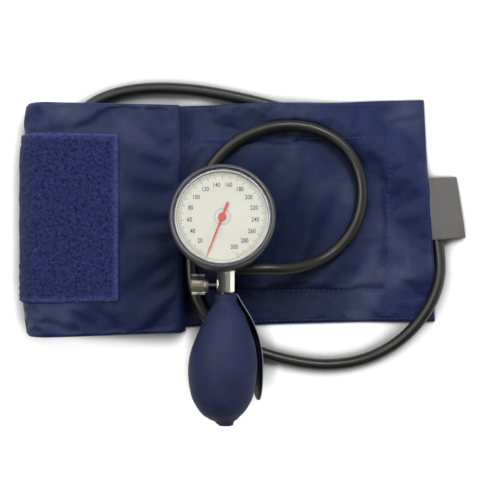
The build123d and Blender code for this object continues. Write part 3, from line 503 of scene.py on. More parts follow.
def royal_pile():
    """Loop pile: tangled short fibres, with a painted highlight on their tips and along the border, and
    painted shade between them.
    """
    made, tree, shader = material("royal_pile", 0.9, Specular_IOR_Level=0.1, Sheen_Weight=0.12)
    place = coordinates(tree)
    tangle = noise(tree, place, 560.0, 5.0, Roughness=0.7, Distortion=1.2)
    clump = add_node(tree, "ShaderNodeTexVoronoi", {"Vector": place, "Scale": 610.0}).outputs["Distance"]
    height = minus(tree, tangle, times(tree, clump, 0.25))
    # Painted light on the pile: its clumps are lighter at their tips and carry painted shade in the depths
    # between them.
    dark = blend_colour(tree, noise(tree, place, 40.0, 3.0), (0.002, 0.004, 0.026), (0.006, 0.009, 0.050))
    fibre_with_painted_light = blend_colour(tree, stretch(tree, height, 0.20, 0.54), dark, (0.036, 0.048, 0.172))
    # Painted highlight: the pile is paler along its border.
    at = axes(tree, coordinates(tree, "UV"))
    edge = maths(tree, "MINIMUM", minus(tree, at[1], LOOP_LOW_Y * MM), minus(tree, LOOP_TOP_Y * MM, at[1]))
    edge = maths(tree, "MINIMUM", edge, minus(tree, PILE_RUN * MM, at[0]))
    border = stretch(tree, edge, 0.0, 0.0045, 1.0, 0.0)
    border_highlight = times(tree, border, stretch(tree, tangle, 0.3, 0.62))
    paint(tree, shader, blend_colour(tree, border_highlight, fibre_with_painted_light, (0.070, 0.092, 0.27)))
    bump(tree, shader, height, 0.0006, 0.8)
    return made


def grey_tape():
    """Woven tape: a very fine plain weave, with painted shade in the gaps between its threads."""
    made, tree, shader = material("grey_tape", 0.6, Sheen_Weight=0.15)
    weave = use_group(tree, WEAVE, coordinates(tree, "UV"), Pitch=0.00035)
    broad = noise(tree, coordinates(tree), 60.0, 4.0)
    cloth = blend_colour(tree, broad, (0.18, 0.172, 0.165), (0.245, 0.237, 0.228))
    # Painted shade in the gaps between the threads.
    threads = stretch(tree, weave["Height"], 0.0, 0.8)
    paint(tree, shader, blend_colour(tree, threads, (0.07, 0.068, 0.066), cloth))
    bump(tree, shader, weave["Height"], 0.0001, 0.7)
    return made


def clear_lens():
    """Clear lens: glass that lets light straight through for shadows."""
    made, tree, shader = material("clear_lens", 0.02, Transmission_Weight=1.0, IOR=1.2)
    shader.inputs["Base Color"].default_value = (1, 1, 1, 1)
    path = add_node(tree, "ShaderNodeLightPath")
    clear = add_node(tree, "ShaderNodeBsdfTransparent")
    through = maths(tree, "MAXIMUM", path.outputs["Is Shadow Ray"], path.outputs["Is Diffuse Ray"])
    mix = add_node(tree, "ShaderNodeMixShader", {0: through, 1: shader.outputs[0], 2: clear.outputs[0]})
    tree.links.new(mix.outputs[0], tree.nodes["Material Output"].inputs["Surface"])
    return made


def dress(made, *names):
    """Gives the named CAD nodes one material."""
    for name in names:
        obj = NODES[name]
        obj.data.materials.clear()
        obj.data.materials.append(made)


def finish_piece(piece, made, body, slot, *replaced):
    """Material, body and replaced nodes of a new piece; the slot argument is not used."""
    piece.data.materials.clear()
    piece.data.materials.append(made)
    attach(piece, body)
    if replaced:
        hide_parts(*replaced)
    return piece


# Camera and hose
def camera():
    """Camera straight above the object, with +Y up in the picture."""
    data = bpy.data.cameras.new("camera")
    data.lens = CAMERA_LENS
    data.sensor_width = 36.0
    data.clip_start = 0.01
    eye = add_object("camera", data)
    eye.location = CAMERA_AT
    bpy.context.scene.camera = eye


def route_curve(name, scale, resolution):
    """A smooth spline with the hose route's points as its control points."""
    curve = bpy.data.curves.new(name, "CURVE")
    curve.dimensions = "3D"
    spline = curve.splines.new("NURBS")
    spline.points.add(len(HOSE_ROUTE) - 1)
    for point, place in zip(spline.points, HOSE_ROUTE):
        point.co = (*[scale * c for c in place], 1.0)
    spline.order_u = 3
    spline.use_endpoint_u = True
    spline.resolution_u = resolution
    return add_object(name, curve)


def hose(made):
    """Rubber hose: a round tube along the route, from the valve's nipple round and into the cuff."""
    piece = route_curve("rubber_hose", MM, 10)
    piece.data.bevel_depth = HOSE_R * MM
    piece.data.bevel_resolution = 10
    piece.data.use_fill_caps = True
    finish_piece(piece, made, "base", "hose_rubber", "hose")


def hose_line():
    """Points along the hose's spline, in millimetres, as Blender works them out."""
    probe = route_curve("route", 1.0, 12)
    line = vertex_places(bpy.data.meshes.new_from_object(probe))
    bpy.data.objects.remove(probe)
    return line


# Cloth: panels settle as simulated cloth between their seams
def settled(name, points, pinned, growth, seed):
    """Cloth on a grid of points, a little larger than its seams allow, so that it buckles as real cloth.

    The grid is simulated at a larger scale, with no gravity, and its pinned points stay."""
    nu, nv = points.shape[:2]
    start = points.reshape(-1, 3).copy()
    start[:, 2] += 0.12 * value_noise(start[:, 0] + 500, start[:, 1] + 500, 9.0, seed) * ~pinned.ravel()
    panel = mesh_piece(name, start * CLOTH_SCALE, grid_faces(nu, nv))
    pins = panel.vertex_groups.new(name="seams")
    pins.add(np.flatnonzero(pinned.ravel()).tolist(), 1.0, "REPLACE")
    cloth = panel.modifiers.new("Cloth", "CLOTH")
    stiffness = {"tension_stiffness": 25.0, "compression_stiffness": 25.0, "shear_stiffness": 12.0,
                 "bending_stiffness": 1.5}
    size = {"vertex_group_mass": "seams", "shrink_min": -growth, "shrink_max": -growth}
    for key, value in {"quality": 6, "mass": 0.3, "air_damping": 2.0, **stiffness, **size}.items():
        setattr(cloth.settings, key, value)
    cloth.settings.effector_weights.gravity = 0.0
    cloth.point_cache.frame_end = CLOTH_FRAMES
    scene = bpy.context.scene
    for number in range(1, CLOTH_FRAMES + 1):
        scene.frame_set(number)
    moved = vertex_places(panel.evaluated_get(bpy.context.evaluated_depsgraph_get()).data)
    bpy.data.objects.remove(panel)
    scene.frame_set(1)
    return moved.reshape(nu, nv, 3) / CLOTH_SCALE / MM


def held_back(base, moved, most):
    """Moved points, no further from the base than a limit."""
    step = moved - base
    length = np.linalg.norm(step, axis=-1, keepdims=True)
    return base + step * np.minimum(1.0, most / np.maximum(length, 1e-9))


def distance_to(line, x, y):
    """Distance in plan from grid points to a line, and the line's height at the nearest point."""
    flat = np.stack([x.ravel(), y.ravel()], -1)
    gap = np.linalg.norm(flat[:, None, :] - line[None, :, :2], axis=-1)
    nearest = gap.argmin(axis=1)
    return gap.min(axis=1).reshape(x.shape), line[nearest, 2].reshape(x.shape)


def on_grid(grid, rows, cols):
    """Points at fractional rows and columns of a grid, blended from the four points around each."""
    i = np.clip(np.floor(rows).astype(int), 0, grid.shape[0] - 2)
    j = np.clip(np.floor(cols).astype(int), 0, grid.shape[1] - 2)
    a, b = (rows - i)[:, None], (cols - j)[:, None]
    near = grid[i, j] * (1 - b) + grid[i, j + 1] * b
    far = grid[i + 1, j] * (1 - b) + grid[i + 1, j + 1] * b
    return near * (1 - a) + far * a


def stitches(name, grid, rows, cols, outward, radius, thread):
    """Short threads along a path over a cloth grid, given by rows and columns of its corners.

    Each is a small arc of five six-sided rings, whose ends dip into the cloth."""
    knots = np.arange(len(rows))
    fine = np.linspace(0, len(rows) - 1, 3000)
    rows, cols = np.interp(fine, knots, rows), np.interp(fine, knots, cols)
    line = on_grid(grid, rows, cols)
    run = np.concatenate([[0.0], np.cumsum(np.linalg.norm(np.diff(line, axis=0), axis=1))])
    middles = (np.arange(int(run[-1] / STITCH_PITCH)) + 0.5) * STITCH_PITCH
    rings, sides = 5, 6
    t = np.linspace(-1, 1, rings)
    places = middles[:, None] + t * STITCH_L / 2
    core = np.stack([np.interp(places, run, line[:, k]) for k in range(3)], -1)
    r, c = np.interp(middles, run, rows), np.interp(middles, run, cols)
    across_rows = on_grid(grid, r + 0.3, c) - on_grid(grid, r - 0.3, c)
    across_cols = on_grid(grid, r, c + 0.3) - on_grid(grid, r, c - 0.3)
    normal = unit(np.cross(across_rows, across_cols)) * outward
    side = np.cross(unit(core[:, -1] - core[:, 0]), normal)
    angle = np.arange(sides) * 2 * np.pi / sides
    section = side[:, None, None] * np.cos(angle)[:, None] + normal[:, None, None] * np.sin(angle)[:, None]
    lift = radius * (0.9 - 1.5 * t ** 2)
    thick = radius * np.sqrt(1 - 0.8 * t ** 2)
    points = core[:, :, None] + normal[:, None, None] * lift[:, None, None] + section * thick[:, None, None]
    cap = np.array([[0, 1, 2, 3], [0, 3, 4, 5]])
    far_cap = cap[:, ::-1] + (rings - 1) * sides
    one = np.concatenate([grid_faces(rings, sides, wrap_v=True), cap, far_cap])
    faces = (one[None] + rings * sides * np.arange(len(middles))[:, None, None]).reshape(-1, 4)
    finish_piece(mesh_piece(name, points.reshape(-1, 3), faces, sharp=70.0), thread,
                 "base", "cuff_nylon")


# Folded end of the cuff, with the loop pile round its large fold; first the pile's length on its line
PILE_RUN = (LOOP_RIGHT_X - ROLL_LEFT_X + (FOLD_R + LAYER_T / 2 + LOOP_T / 2) * (np.pi + radians(ROLL_SLOPE))
            + LOOP_TOP_L)


def roll_path(offset, first_x, spacing, top_l=None):
    """The folded cuff seen along Y: points, directions and run lengths of its line, moved outwards.

    Straight, a half turn and a bit round the large fold, down the slope, and back and forth in two
    small folds."""
    slope = radians(ROLL_SLOPE)
    middle = BASE_Z + LAYER_T / 2
    small = (LAYER_T + LAYER_GAP) / 2
    spot = np.array([first_x, middle - offset])
    heading = np.pi
    points, headings = [spot], [heading]

    def straight(length):
        """Goes on in the same direction."""
        nonlocal spot
        count = max(2, int(round(length / spacing)))
        way = np.array([np.cos(heading), np.sin(heading)])
        for k in range(1, count + 1):
            points.append(spot + way * length * k / count)
            headings.append(heading)
        spot = points[-1]

    def bend(radius, turn):
        """Goes on along an arc; a negative turn is clockwise."""
        nonlocal spot, heading
        count = max(10, int(round(abs(turn) * radius / spacing)))
        side = np.sign(turn)
        centre = spot + radius * side * np.array([-np.sin(heading), np.cos(heading)])
        for k in range(1, count + 1):
            now = heading + turn * k / count
            points.append(centre - radius * side * np.array([-np.sin(now), np.cos(now)]))
            headings.append(now)
        spot = points[-1]
        heading += turn

    straight(first_x - ROLL_LEFT_X)
    bend(FOLD_R + offset, -np.pi - slope)
    if top_l:
        straight(top_l)
    else:
        straight((ROLL_RIGHT_X - spot[0]) / np.cos(slope))
        bend(small, -np.pi)
        straight((spot[0] - INNER_FOLD_X) / np.cos(slope))
        bend(small, np.pi)
        straight((ROLL_RIGHT_X + 3.0 - spot[0]) / np.cos(slope))
    points, headings = np.array(points), np.array(headings)
    steps = np.linalg.norm(np.diff(points, axis=0), axis=1)
    return points, headings, np.concatenate([[0.0], np.cumsum(steps)])


def across_strip(low, high, count, hem):
    """Places across a strip, closer together near its hems, and each place's share of full thickness."""
    t = np.linspace(-1, 1, count)
    t = np.sign(t) * (1 - (1 - np.abs(t)) ** 1.35)
    y = (low + high) / 2 + t * (high - low) / 2
    edge = np.minimum(y - low, high - y)
    thick = np.sqrt(np.clip(1 - (1 - np.clip(edge / hem, 0, 1)) ** 2, 0.02, 1))
    return y, thick


def folded_strip(offset, first_x, thickness, low, high, spacing, count, hem, top_l=None):
    """Both faces of a folded strip, with its places along and across, in metres, its run and headings."""
    points, headings, run = roll_path(offset, first_x, spacing, top_l)
    y, thick = across_strip(low, high, count, hem)
    out = np.stack([-np.sin(headings), np.cos(headings)], -1)
    half = thickness / 2 * thick
    faces = []
    for side in (1, -1):
        x = points[:, :1] + side * out[:, :1] * half[None, :]
        z = points[:, 1:] + side * out[:, 1:] * half[None, :]
        faces.append(np.stack([x, np.broadcast_to(y, x.shape), z], -1))
    cloth = np.stack(np.broadcast_arrays(run[:, None], y[None, :]), -1) * MM
    return faces[0], faces[1], cloth, run, headings


def roll_lie(points):
    """The folded part as it lies: its left corners are drawn in and its hems are spread a little."""
    x, y, z = points[..., 0], points[..., 1], points[..., 2]
    share = (y - CUFF_TOP_Y + CUFF_W / 2) / (CUFF_W / 2)
    spread = np.where(share > 0, 1.6, -1.8 - 1.5 * ease(-x, 40.0, 130.0))
    lean = 0.9 * share * ease(x, -90.0, ROLL_RIGHT_X)
    upper = 1.3 * ease(share, 0.54, 0.7) + 1.3 * ease(share, 0.8, 1.0)
    lower = 1.0 * ease(-share, 0.7, 0.84) + 1.9 * ease(-share, 0.8, 1.0)
    drawn = (upper + lower) * ease(-x, 98.0, 130.0)
    return np.stack([x + drawn - lean, y + spread * np.abs(share) ** 3, z], -1)


def top_rows(run, headings):
    """First and last row of the folded part's top panel.

    A hidden layer further along has the same slope, and lies beyond the longest that the panel is."""
    longest = 120.0
    level = np.flatnonzero(np.abs(headings + radians(ROLL_SLOPE)) < 1e-6)
    level = level[run[level] < run[level[0]] + longest]
    return level[0], level[-1]


def cuff_roll(made, thread):
    """Folded end of the cuff, its top panel settled as cloth between the fold and the hems.

    The panel keeps its plain shape under the pile, so that it doesn't come through it."""
    outer, inner, cloth, run, headings = folded_strip(
        0.0, ROLL_RIGHT_X + 4.0, LAYER_T, CUFF_LOW_Y, CUFF_TOP_Y, spacing=1.8, count=84, hem=2.2)
    first, last = top_rows(run, headings)
    rows_of_fold = 14
    fold = first - rows_of_fold
    patch = outer[fold:last]
    bare = outer.copy()
    pinned = np.zeros(patch.shape[:2], dtype=bool)
    pinned[0] = pinned[-1] = True
    pinned[:, :3] = pinned[:, -3:] = True
    outer[fold:last] = held_back(patch, settled("roll_cloth", patch, pinned, growth=0.022, seed=3), 1.1)
    past_fold = ease(run, run[first] - 20.0, run[first])
    before_end = ease(-run, -run[last] - 6.0, -run[last] + 6.0)
    shown = (past_fold * before_end)[:, None]
    s, t = cloth[..., 0] / MM + NOISE_AT, cloth[..., 1] / MM + NOISE_AT
    y = t - NOISE_AT
    near_hem = np.exp(-np.minimum(y - CUFF_LOW_Y, CUFF_TOP_Y - y) / 9.0)
    swells = 0.55 * value_noise(s, t, 38.0, 8)
    puckers = 0.45 * near_hem * value_noise(s, t * 0.2, 7.0, 9)
    outer[..., 2] += shown * (swells + puckers)
    beside_pile = np.maximum(y - LOOP_TOP_Y, LOOP_LOW_Y - y)
    after_pile = ease(run, run[first] + LOOP_TOP_L + 0.5, run[first] + LOOP_TOP_L + 5.0)
    free = np.maximum(ease(beside_pile, 0.8, 5.0), after_pile[:, None])
    outer = bare + (outer - bare) * free[..., None]
    outer, inner = roll_lie(outer), roll_lie(inner)
    piece = finish_piece(closed_sheet("cuff_folded_end", outer, inner, cloth, 75.0), made,
                         "base", "cuff_nylon", "cuff_shell")
    y = cloth[0, :, 1] / MM
    rows = np.array([first - 24.0, last - 1.0])
    for name, place in (("roll_upper_stitches", CUFF_TOP_Y - 2.4), ("roll_lower_stitches", CUFF_LOW_Y + 2.4)):
        cols = np.interp(place, y, np.arange(len(y))) * np.ones(2)
        stitches(name, outer, rows, cols, -1, HEM_THREAD_R, thread)
    return piece


def loop_pile_field(made, thread):
    """Loop pile that wraps the large fold: its face is roughened by small clumps of pile."""
    outer, inner, cloth, run, headings = folded_strip(
        LAYER_T / 2 + LOOP_T / 2, LOOP_RIGHT_X, LOOP_T, LOOP_LOW_Y, LOOP_TOP_Y,
        spacing=0.9, count=118, hem=0.6, top_l=LOOP_TOP_L)
    out = np.stack([-np.sin(headings), 0 * headings, np.cos(headings)], -1)[:, None, :]
    s, t = cloth[..., 0] / MM, cloth[..., 1] / MM
    along, across = s + PILE_NOISE_AT, t + PILE_NOISE_AT
    rough = 0.34 * value_noise(along, across, 2.1, 5) + 0.24 * value_noise(along, across, 1.1, 6)
    hidden_run = 215.0
    shown = ease(run, hidden_run, hidden_run + 20.0)[:, None]
    edge = np.minimum(ease(t - LOOP_LOW_Y, 0, 1.0), ease(LOOP_TOP_Y - t, 0, 1.0))
    fold = 0.6 * np.exp(-((run - run[-1] + LOOP_TOP_L + 26.0) / 18.0) ** 2)[:, None]
    outer = outer + out * (shown * (0.45 + fold + rough) * edge)[..., None]
    from_middle = t - (LOOP_LOW_Y + LOOP_TOP_Y) / 2
    ragged = 0.5 * value_noise(along, t * 0 + 7, 1.7, 15) * shown
    outer[..., 1] += ragged * np.sign(from_middle) * ease(np.abs(from_middle), LOOP_W / 2 - 1.2, LOOP_W / 2)
    outer, inner = roll_lie(outer), roll_lie(inner)
    outer[..., 2], inner[..., 2] = np.maximum(outer[..., 2], 0.0), np.maximum(inner[..., 2], 0.0)
    finish_piece(closed_sheet("loop_pile_field", outer, inner, cloth, 80.0), made,
                 "base", "loop_pile", "loop_field")
    end = len(run) - 1.0
    first = np.interp(run[-1] - LOOP_TOP_L - 30.0, run, np.arange(len(run)))
    y = cloth[0, :, 1] / MM
    high, low = np.interp([LOOP_TOP_Y - 1.6, LOOP_LOW_Y + 1.6], y, np.arange(len(y)))
    rows, cols = np.array([first, end - 2.0, end - 2.0, first]), np.array([high, high, low, low])
    stitches("pile_stitches", outer, rows, cols, -1, PILE_THREAD_R, thread)


# Laid-out end of the cuff
def pad_height(x, y):
    """Height of the padded area over the margins: 1 inside the sewn rectangle, 0 outside it."""
    inside = np.minimum(np.minimum(y - PAD_LOW_Y, PAD_TOP_Y - y), PAD_RIGHT_X - x)
    return ease(inside, -0.8, 5.5)


def over_bladder(x, y):
    """Lowest height of the cloth: a little above the bladder where it lies, the plies alone beyond it."""
    inside = np.minimum(np.minimum(y - BLADDER_LOW_Y, BLADDER_TOP_Y - y), BLADDER_RIGHT_X - x)
    plies = BASE_Z + 2 * PLY_T
    return plies + (BLADDER_Z + 0.25 - plies) * ease(inside, -2.2, -0.6)


def over_hose(gap, height, spread, clear):
    """Height of cloth over a hose that lies under it, above the cuff's base, as a soft tent."""
    return (height + HOSE_R + clear - BASE_Z) * np.exp(-(gap / spread) ** 2)


def flat_length(v):
    """Length of the laid-out end at a place across it; its lower edge is the longest."""
    return FLAT_L + FLAT_FLARE * (1 - v / CUFF_W)


def flat_place(u, v):
    """Where a point of the laid-out end lies in plan, from its places along and across the cloth."""
    turn = radians(CUFF_SKEW)
    return (ROLL_RIGHT_X + u * np.cos(turn) - v * np.sin(turn),
            FLAT_LOW_Y + u * np.sin(turn) + v * np.cos(turn))


def flat_cut(x, y):
    """Places along and across the cloth of a point in plan."""
    turn = radians(CUFF_SKEW)
    return ((x - ROLL_RIGHT_X) * np.cos(turn) + (y - FLAT_LOW_Y) * np.sin(turn),
            (y - FLAT_LOW_Y) * np.cos(turn) - (x - ROLL_RIGHT_X) * np.sin(turn))


def flat_shape(u, v, border, line):
    """The laid-out end's upper grid, lower grid, lowest heights and pad, from its places on the cloth.

    Its outline is a little uneven. Its height is the pad's, a tent over the hidden hose where that is
    higher, waves along the margins and a crumpled corner, drawn down to the plies at the border."""
    upper = 1.3 * ease(v, 120.0, CUFF_W)
    drawn = 1.1 * ease(u, 115.0, FLAT_L) * ease(-v, -40.0, 0.0)
    uneven = 0.35 * value_noise(u + NOISE_AT, v * 0 + 60, 24.0, 31) * ease(v, 100, CUFF_W)
    x, y = flat_place(u, v + upper - drawn + uneven)
    covered = line[(line[:, 0] > -5) & (line[:, 1] > -6.0) & (line[:, 2] < 7.0)]
    gap, height = distance_to(covered, x, y)
    low = BASE_Z + 0.05 + over_hose(gap, height, 9.0, 0.5)
    plies = BASE_Z + 2 * PLY_T
    pad = pad_height(x, y)
    z = plies + (PAD_Z - plies) * pad
    z = np.maximum(z, BASE_Z + over_hose(gap, height, 17.0, 2.1))
    z = low + np.maximum(z - low, 1.5)
    upright = ease(x, PAD_RIGHT_X - 4.0, PAD_RIGHT_X + 6.0)
    waves = (1 - upright) * value_noise(u + NOISE_AT, v * 0.25 + NOISE_AT, 6.5, 21)
    waves = waves + upright * value_noise(u * 0.3 + NOISE_AT, v + NOISE_AT, 7.5, 22)
    corner = ease(u, 128.0, 160.0) * ease(-v, -52.0, -8.0)
    crumpled = 0.9 * corner * value_noise(u + v + NOISE_AT, v + NOISE_AT, 13.0, 23)
    z = z + (1 - pad) * ease(border, 0.5, 6.0) * (0.42 * waves + crumpled)
    z = z + 0.16 * pad * value_noise(u + NOISE_AT, v + NOISE_AT, 30.0, 24)
    z = low + (z - low) * (0.3 + 0.7 * ease(border, 0.0, 2.2) ** 0.5)
    lowest = over_bladder(x, y) * (border > 3.0)
    return np.stack([x, y, np.maximum(z, lowest)], -1), np.stack([x, y, low], -1), lowest, pad


def under_hose(grid, line):
    """Heights of the grid, pressed down where the upper stretch of the hose lies on it."""
    laid = line[line[:, 2] > 8.2]
    near, laid_z = distance_to(laid, grid[..., 0], grid[..., 1])
    ceiling = laid_z - np.sqrt(np.maximum(HOSE_R ** 2 - np.minimum(near, HOSE_R) ** 2, 0)) - 0.15
    return np.where(near < HOSE_R + 1.0, np.minimum(grid[..., 2], ceiling), grid[..., 2])


def cuff_flat(made, thread, line):
    """Laid-out end of the cuff: puckered margins, sewn pad and a soft tent over the hidden hose."""
    y_cut = across_strip(0.0, CUFF_W, count=100, hem=1.6)[0]
    share, v = np.meshgrid(np.linspace(0.0, 1.0, 118), y_cut, indexing="ij")
    u = share * (flat_length(v) + 1.0) - 1.0
    border = np.minimum(np.minimum(v, CUFF_W - v), flat_length(v) - u)
    top, bottom, lowest, pad = flat_shape(u, v, border, line)
    seam = np.abs(pad - 0.12) < 0.1
    pinned = (border < 2.5) | (u < 1.0) | seam
    calm = held_back(top, settled("flat_cloth", top, pinned, growth=0.014, seed=11), 1.4)
    calm[..., 2] = under_hose(calm, line)
    calm[..., 2] = np.maximum(np.maximum(calm[..., 2], bottom[..., 2] + 0.45), lowest)
    piece = finish_piece(closed_sheet("cuff_laid_end", calm, bottom, np.stack([u, v], -1) * MM, 75.0), made,
                         "base", "cuff_nylon")

    def sew(name, along, across, radius):
        """Stitches through corners given along and across the cloth."""
        rows = (along + 1) / (flat_length(across) + 1.0) * (len(calm) - 1)
        cols = np.interp(across, y_cut, np.arange(len(y_cut)))
        stitches(name, calm, rows, cols, 1, radius, thread)

    left = ROLL_RIGHT_X + 3.0
    pad_x = np.array([left, PAD_RIGHT_X, PAD_RIGHT_X, left])
    pad_y = np.array([PAD_TOP_Y, PAD_TOP_Y, PAD_LOW_Y, PAD_LOW_Y])
    sew("pad_stitches", *flat_cut(pad_x, pad_y), PAD_THREAD_R)
    hem_u = np.array([2.0, FLAT_L - 2.4, FLAT_L + FLAT_FLARE - 2.4, 2.0])
    hem_v = np.array([CUFF_W - 2.2, CUFF_W - 2.2, 2.2, 2.2])
    sew("hem_stitches", hem_u, hem_v, HEM_THREAD_R)
    return piece


def label_tag(line):
    """Woven tape sewn into the cuff's right edge, lying over the hose and sloping down beyond it."""
    u, v = np.meshgrid(np.linspace(0, 1, 44), np.linspace(0, 1, 60), indexing="ij")
    left, right = (a + (b - a) * v[..., None] for a, b in np.array([LABEL_LEFT, LABEL_RIGHT]))
    plan = left + (right - left) * u[..., None]
    covered = line[(line[:, 0] > 60) & (line[:, 1] > -12.0) & (line[:, 2] < 7.5)]
    gap, height = distance_to(covered, plan[..., 0], plan[..., 1])
    spread = 9.0 + 6.0 * ease(u, 0.25, 1.0)
    z = BASE_Z + 0.5 + over_hose(gap, height, spread, 0.75)
    z = z + 0.35 * value_noise(plan[..., 0] + 40, plan[..., 1] + 40, 11.0, 41) * ease(u, 0.1, 0.6)
    z = z - 0.6 * ease(u, 0.8, 1.0) * ease(-v, -0.35, 0.0)
    middle = np.concatenate([plan, z[..., None]], -1)
    width, length = 24, 41
    near_edge = np.minimum(np.minimum(u, 1 - u) * width, np.minimum(v, 1 - v) * length)
    half = LABEL_T / 2 * np.sqrt(np.clip(1 - (1 - np.clip(near_edge / 0.5, 0, 1)) ** 2, 0.05, 1))
    lift = np.stack([0 * z, 0 * z, half], -1)
    return closed_sheet("woven_label", middle + lift, middle - lift, plan * MM, 75.0)


# Bulb
def bulb_dent(angle, height):
    """Two mould lines along the bulb and a slight unevenness of its wall."""
    line = np.exp(-((np.sin(angle)) / 0.012) ** 2) * 0.07
    uneven = 0.10 * np.sin(2 * angle + 0.4) * np.sin(np.pi * np.clip(height / BULB_L, 0, 1))
    return line * ease(height, 4.0, 10.0) + uneven


def bulb_skin():
    """Rubber bulb: a rim at the neck, a pear-shaped belly and a blunt tail, closed at both ends.

    The soft belly leans to one side, while neck and tail stay on the axis."""
    top = BULB_FOOT + BULB_L
    mouth = [(0.0, BULB_FOOT + 0.3), (3.7, BULB_FOOT + 0.3), (3.9, BULB_FOOT)]
    rim = arc((BULB_COLLAR_R - 0.5, BULB_FOOT + 0.5), (0.5, 0.5), -90, 0, 5)
    collar = [(BULB_COLLAR_R, BULB_FOOT + 4.2), (BULB_COLLAR_R - 0.05, BULB_FOOT + 4.8)]
    shares = [(13.1, 0.545), (20.7, 0.705), (28.4, 0.84), (36.0, 0.948), (43.6, 1.0), (51.2, 1.0),
              (59.1, 0.957), (66.7, 0.868), (74.4, 0.655), (79.0, 0.42)]
    neck = [(BULB_COLLAR_R + 0.3, BULB_FOOT + 5.6), (BULB_COLLAR_R + 1.5, BULB_FOOT + 7.8)]
    side = smooth_curve(neck + [(r * BULB_BELLY_R, z + BULB_FOOT) for z, r in shares], 150)
    tail = [(INLET_R + 2.4, top - 1.6), (INLET_R + 1.7, top - 0.5), (INLET_R + 1.2, top), (INLET_R, top),
            (INLET_R - 0.2, top - 1.0), (0.0, top - 1.2)]
    profile = np.concatenate([mouth, rim, collar, side, tail])

    def place(points):
        """The bulb laid down, with its belly leaning."""
        z = points[..., 2]
        lean = BULB_LEAN * ease(z, 6.0, 58.0) * (1 - 0.7 * ease(z, top - 6.0, top))
        return valve_place(points - np.stack([lean, 0 * lean, 0 * lean], -1))

    return turned("bulb_skin", profile, place, 180, bulb_dent)


# Finger lever
def lever_place(points):
    """Points with X away from the bulb's axis, turned to the lever's side of the bulb."""
    turn = radians(SPOON_ANGLE)
    c, s = np.cos(turn), np.sin(turn)
    x, y, z = points[..., 0], points[..., 1], points[..., 2]
    return valve_place(np.stack([x * c - y * s, x * s + y * c, z], -1))


def lever_blade():
    """Thin curved strip with rounded edges: it widens from its root and ends in a rounded tip.

    Its section is a flat oval, slightly hollow towards the bulb."""
    heights = np.array([0.0145, 0.13, 0.29, 0.464, 0.638, 0.783, 1.0]) * SPOON_L
    reach = [BULB_NECK_R + 0.2, 11.5, 18.6, 23.6, SPOON_REACH, SPOON_REACH, SPOON_REACH]
    line = smooth_curve(np.stack([reach, heights], -1), 120)
    z = line[:, 1]
    half = SPOON_ROOT_W / 2 + (SPOON_W / 2 - SPOON_ROOT_W / 2) * ease(z, 0.0, 16.0)
    into_tip = np.clip(z - 0.72 * SPOON_L, 0, None) / (0.28 * SPOON_L)
    half = half * np.sqrt(np.clip(1 - into_tip ** 2.2, 0.0, 1))
    way = unit(np.gradient(line, axis=0))
    around = 40
    angle = np.linspace(0, 2 * np.pi, around, endpoint=False)
    across, through = np.sin(angle), np.cos(angle)
    across = np.sign(across) * np.abs(across) ** 0.6
    through = np.sign(through) * np.abs(through) ** 0.6 * SPOON_T / 2
    hollow = -0.7 * across ** 2 * (half[:, None] / (SPOON_W / 2))
    step = through[None, :] * np.minimum(1.0, half / 1.5)[:, None] + hollow
    x = line[:, :1] + way[:, 1:] * step
    height = z[:, None] - way[:, :1] * step
    points = np.stack([x, half[:, None] * across[None, :], height], -1)
    root, tip = (end.mean(axis=1, keepdims=True) for end in (points[:1], points[-1:]))
    points = np.concatenate([np.repeat(root, around, axis=1), points, np.repeat(tip, around, axis=1)])
    along = np.arange(len(points)) / (len(points) - 1)
    uv = np.stack(np.broadcast_arrays(across[None, :], along[:, None]), -1).reshape(-1, 2)
    faces = grid_faces(len(points), around, wrap_v=True)
    return merge_poles(mesh_piece("lever_blade", lever_place(points).reshape(-1, 3), faces, uv, 60.0))


def lever_eye():
    """Flat ring round the barb that carries the lever."""
    inner, outer, low, high = BARB_R + 0.05, BULB_NECK_R + 0.6, 0.1, BULB_FOOT - 0.1
    round_r = 0.3
    profile = [(inner, low), *arc((outer - round_r, low + round_r), (round_r, round_r), -90, 0, 4),
               *arc((outer - round_r, high - round_r), (round_r, round_r), 0, 90, 4), (inner, high)]
    return turned("lever_eye", profile, lever_place, 96, closed=True)


# Front ring
def front_ring():
    """Soft ring round the dial: a straight skirt, a well-rounded shoulder and a small lip over the lens."""
    shoulder = arc((RING_R - 2.0, 0.9), (2.0, RING_TOP - 0.9), 0, 90, 18)
    lip = arc((RING_MOUTH_R + 0.4, RING_LIP_Z), (0.4, RING_TOP - RING_LIP_Z), 90, 180, 6)
    skirt = arc((RING_R - 0.4, 0.4 - RING_SKIRT), (0.4, 0.4), -90, 0, 5)
    profile = [(RIM_R + 0.05, -RING_SKIRT), *skirt, *shoulder, *lip, (RIM_R + 0.05, RING_LIP_Z)]
    return turned("front_ring", profile, gauge_place, 192, closed=True)


# Printing on the dial: its bars and circles are a radius and a half width
MIDDLE_VALUE = 150.0
DEGREES_PER_UNIT = 1.06
LONG_TICK = (23.8, 0.13)
SHORT_TICK = (25.0, 0.095)
TICK_END_R = 26.7
CIRCLES = ((26.8, 0.07), (27.3, 0.05), (28.1, 0.09), (5.1, 0.08), (4.4, 0.04))
NUMBER_R = 20.2
PRINT_T = 0.03


def bearing(value):
    """Direction of a pressure value on the dial, in radians from +X."""
    return radians(90.0 - (value - MIDDLE_VALUE) * DEGREES_PER_UNIT)


def flat_print(name, outlines):
    """Thin closed bars on the dial: each outline is four corners in the dial's plane."""
    corners = np.asarray(outlines, dtype=float)
    count = len(corners)
    low = np.concatenate([corners, np.full((count, 4, 1), PRINT_T / 2)], -1)
    high = low + np.array([0, 0, PRINT_T])
    points = np.concatenate([low, high], 1).reshape(-1, 3)
    base = np.array([[3, 2, 1, 0], [4, 5, 6, 7], [0, 1, 5, 4], [1, 2, 6, 5], [2, 3, 7, 6], [3, 0, 4, 7]])
    faces = (base[None] + 8 * np.arange(count)[:, None, None]).reshape(-1, 4)
    return mesh_piece(name, gauge_place(points), faces, sharp=30.0)


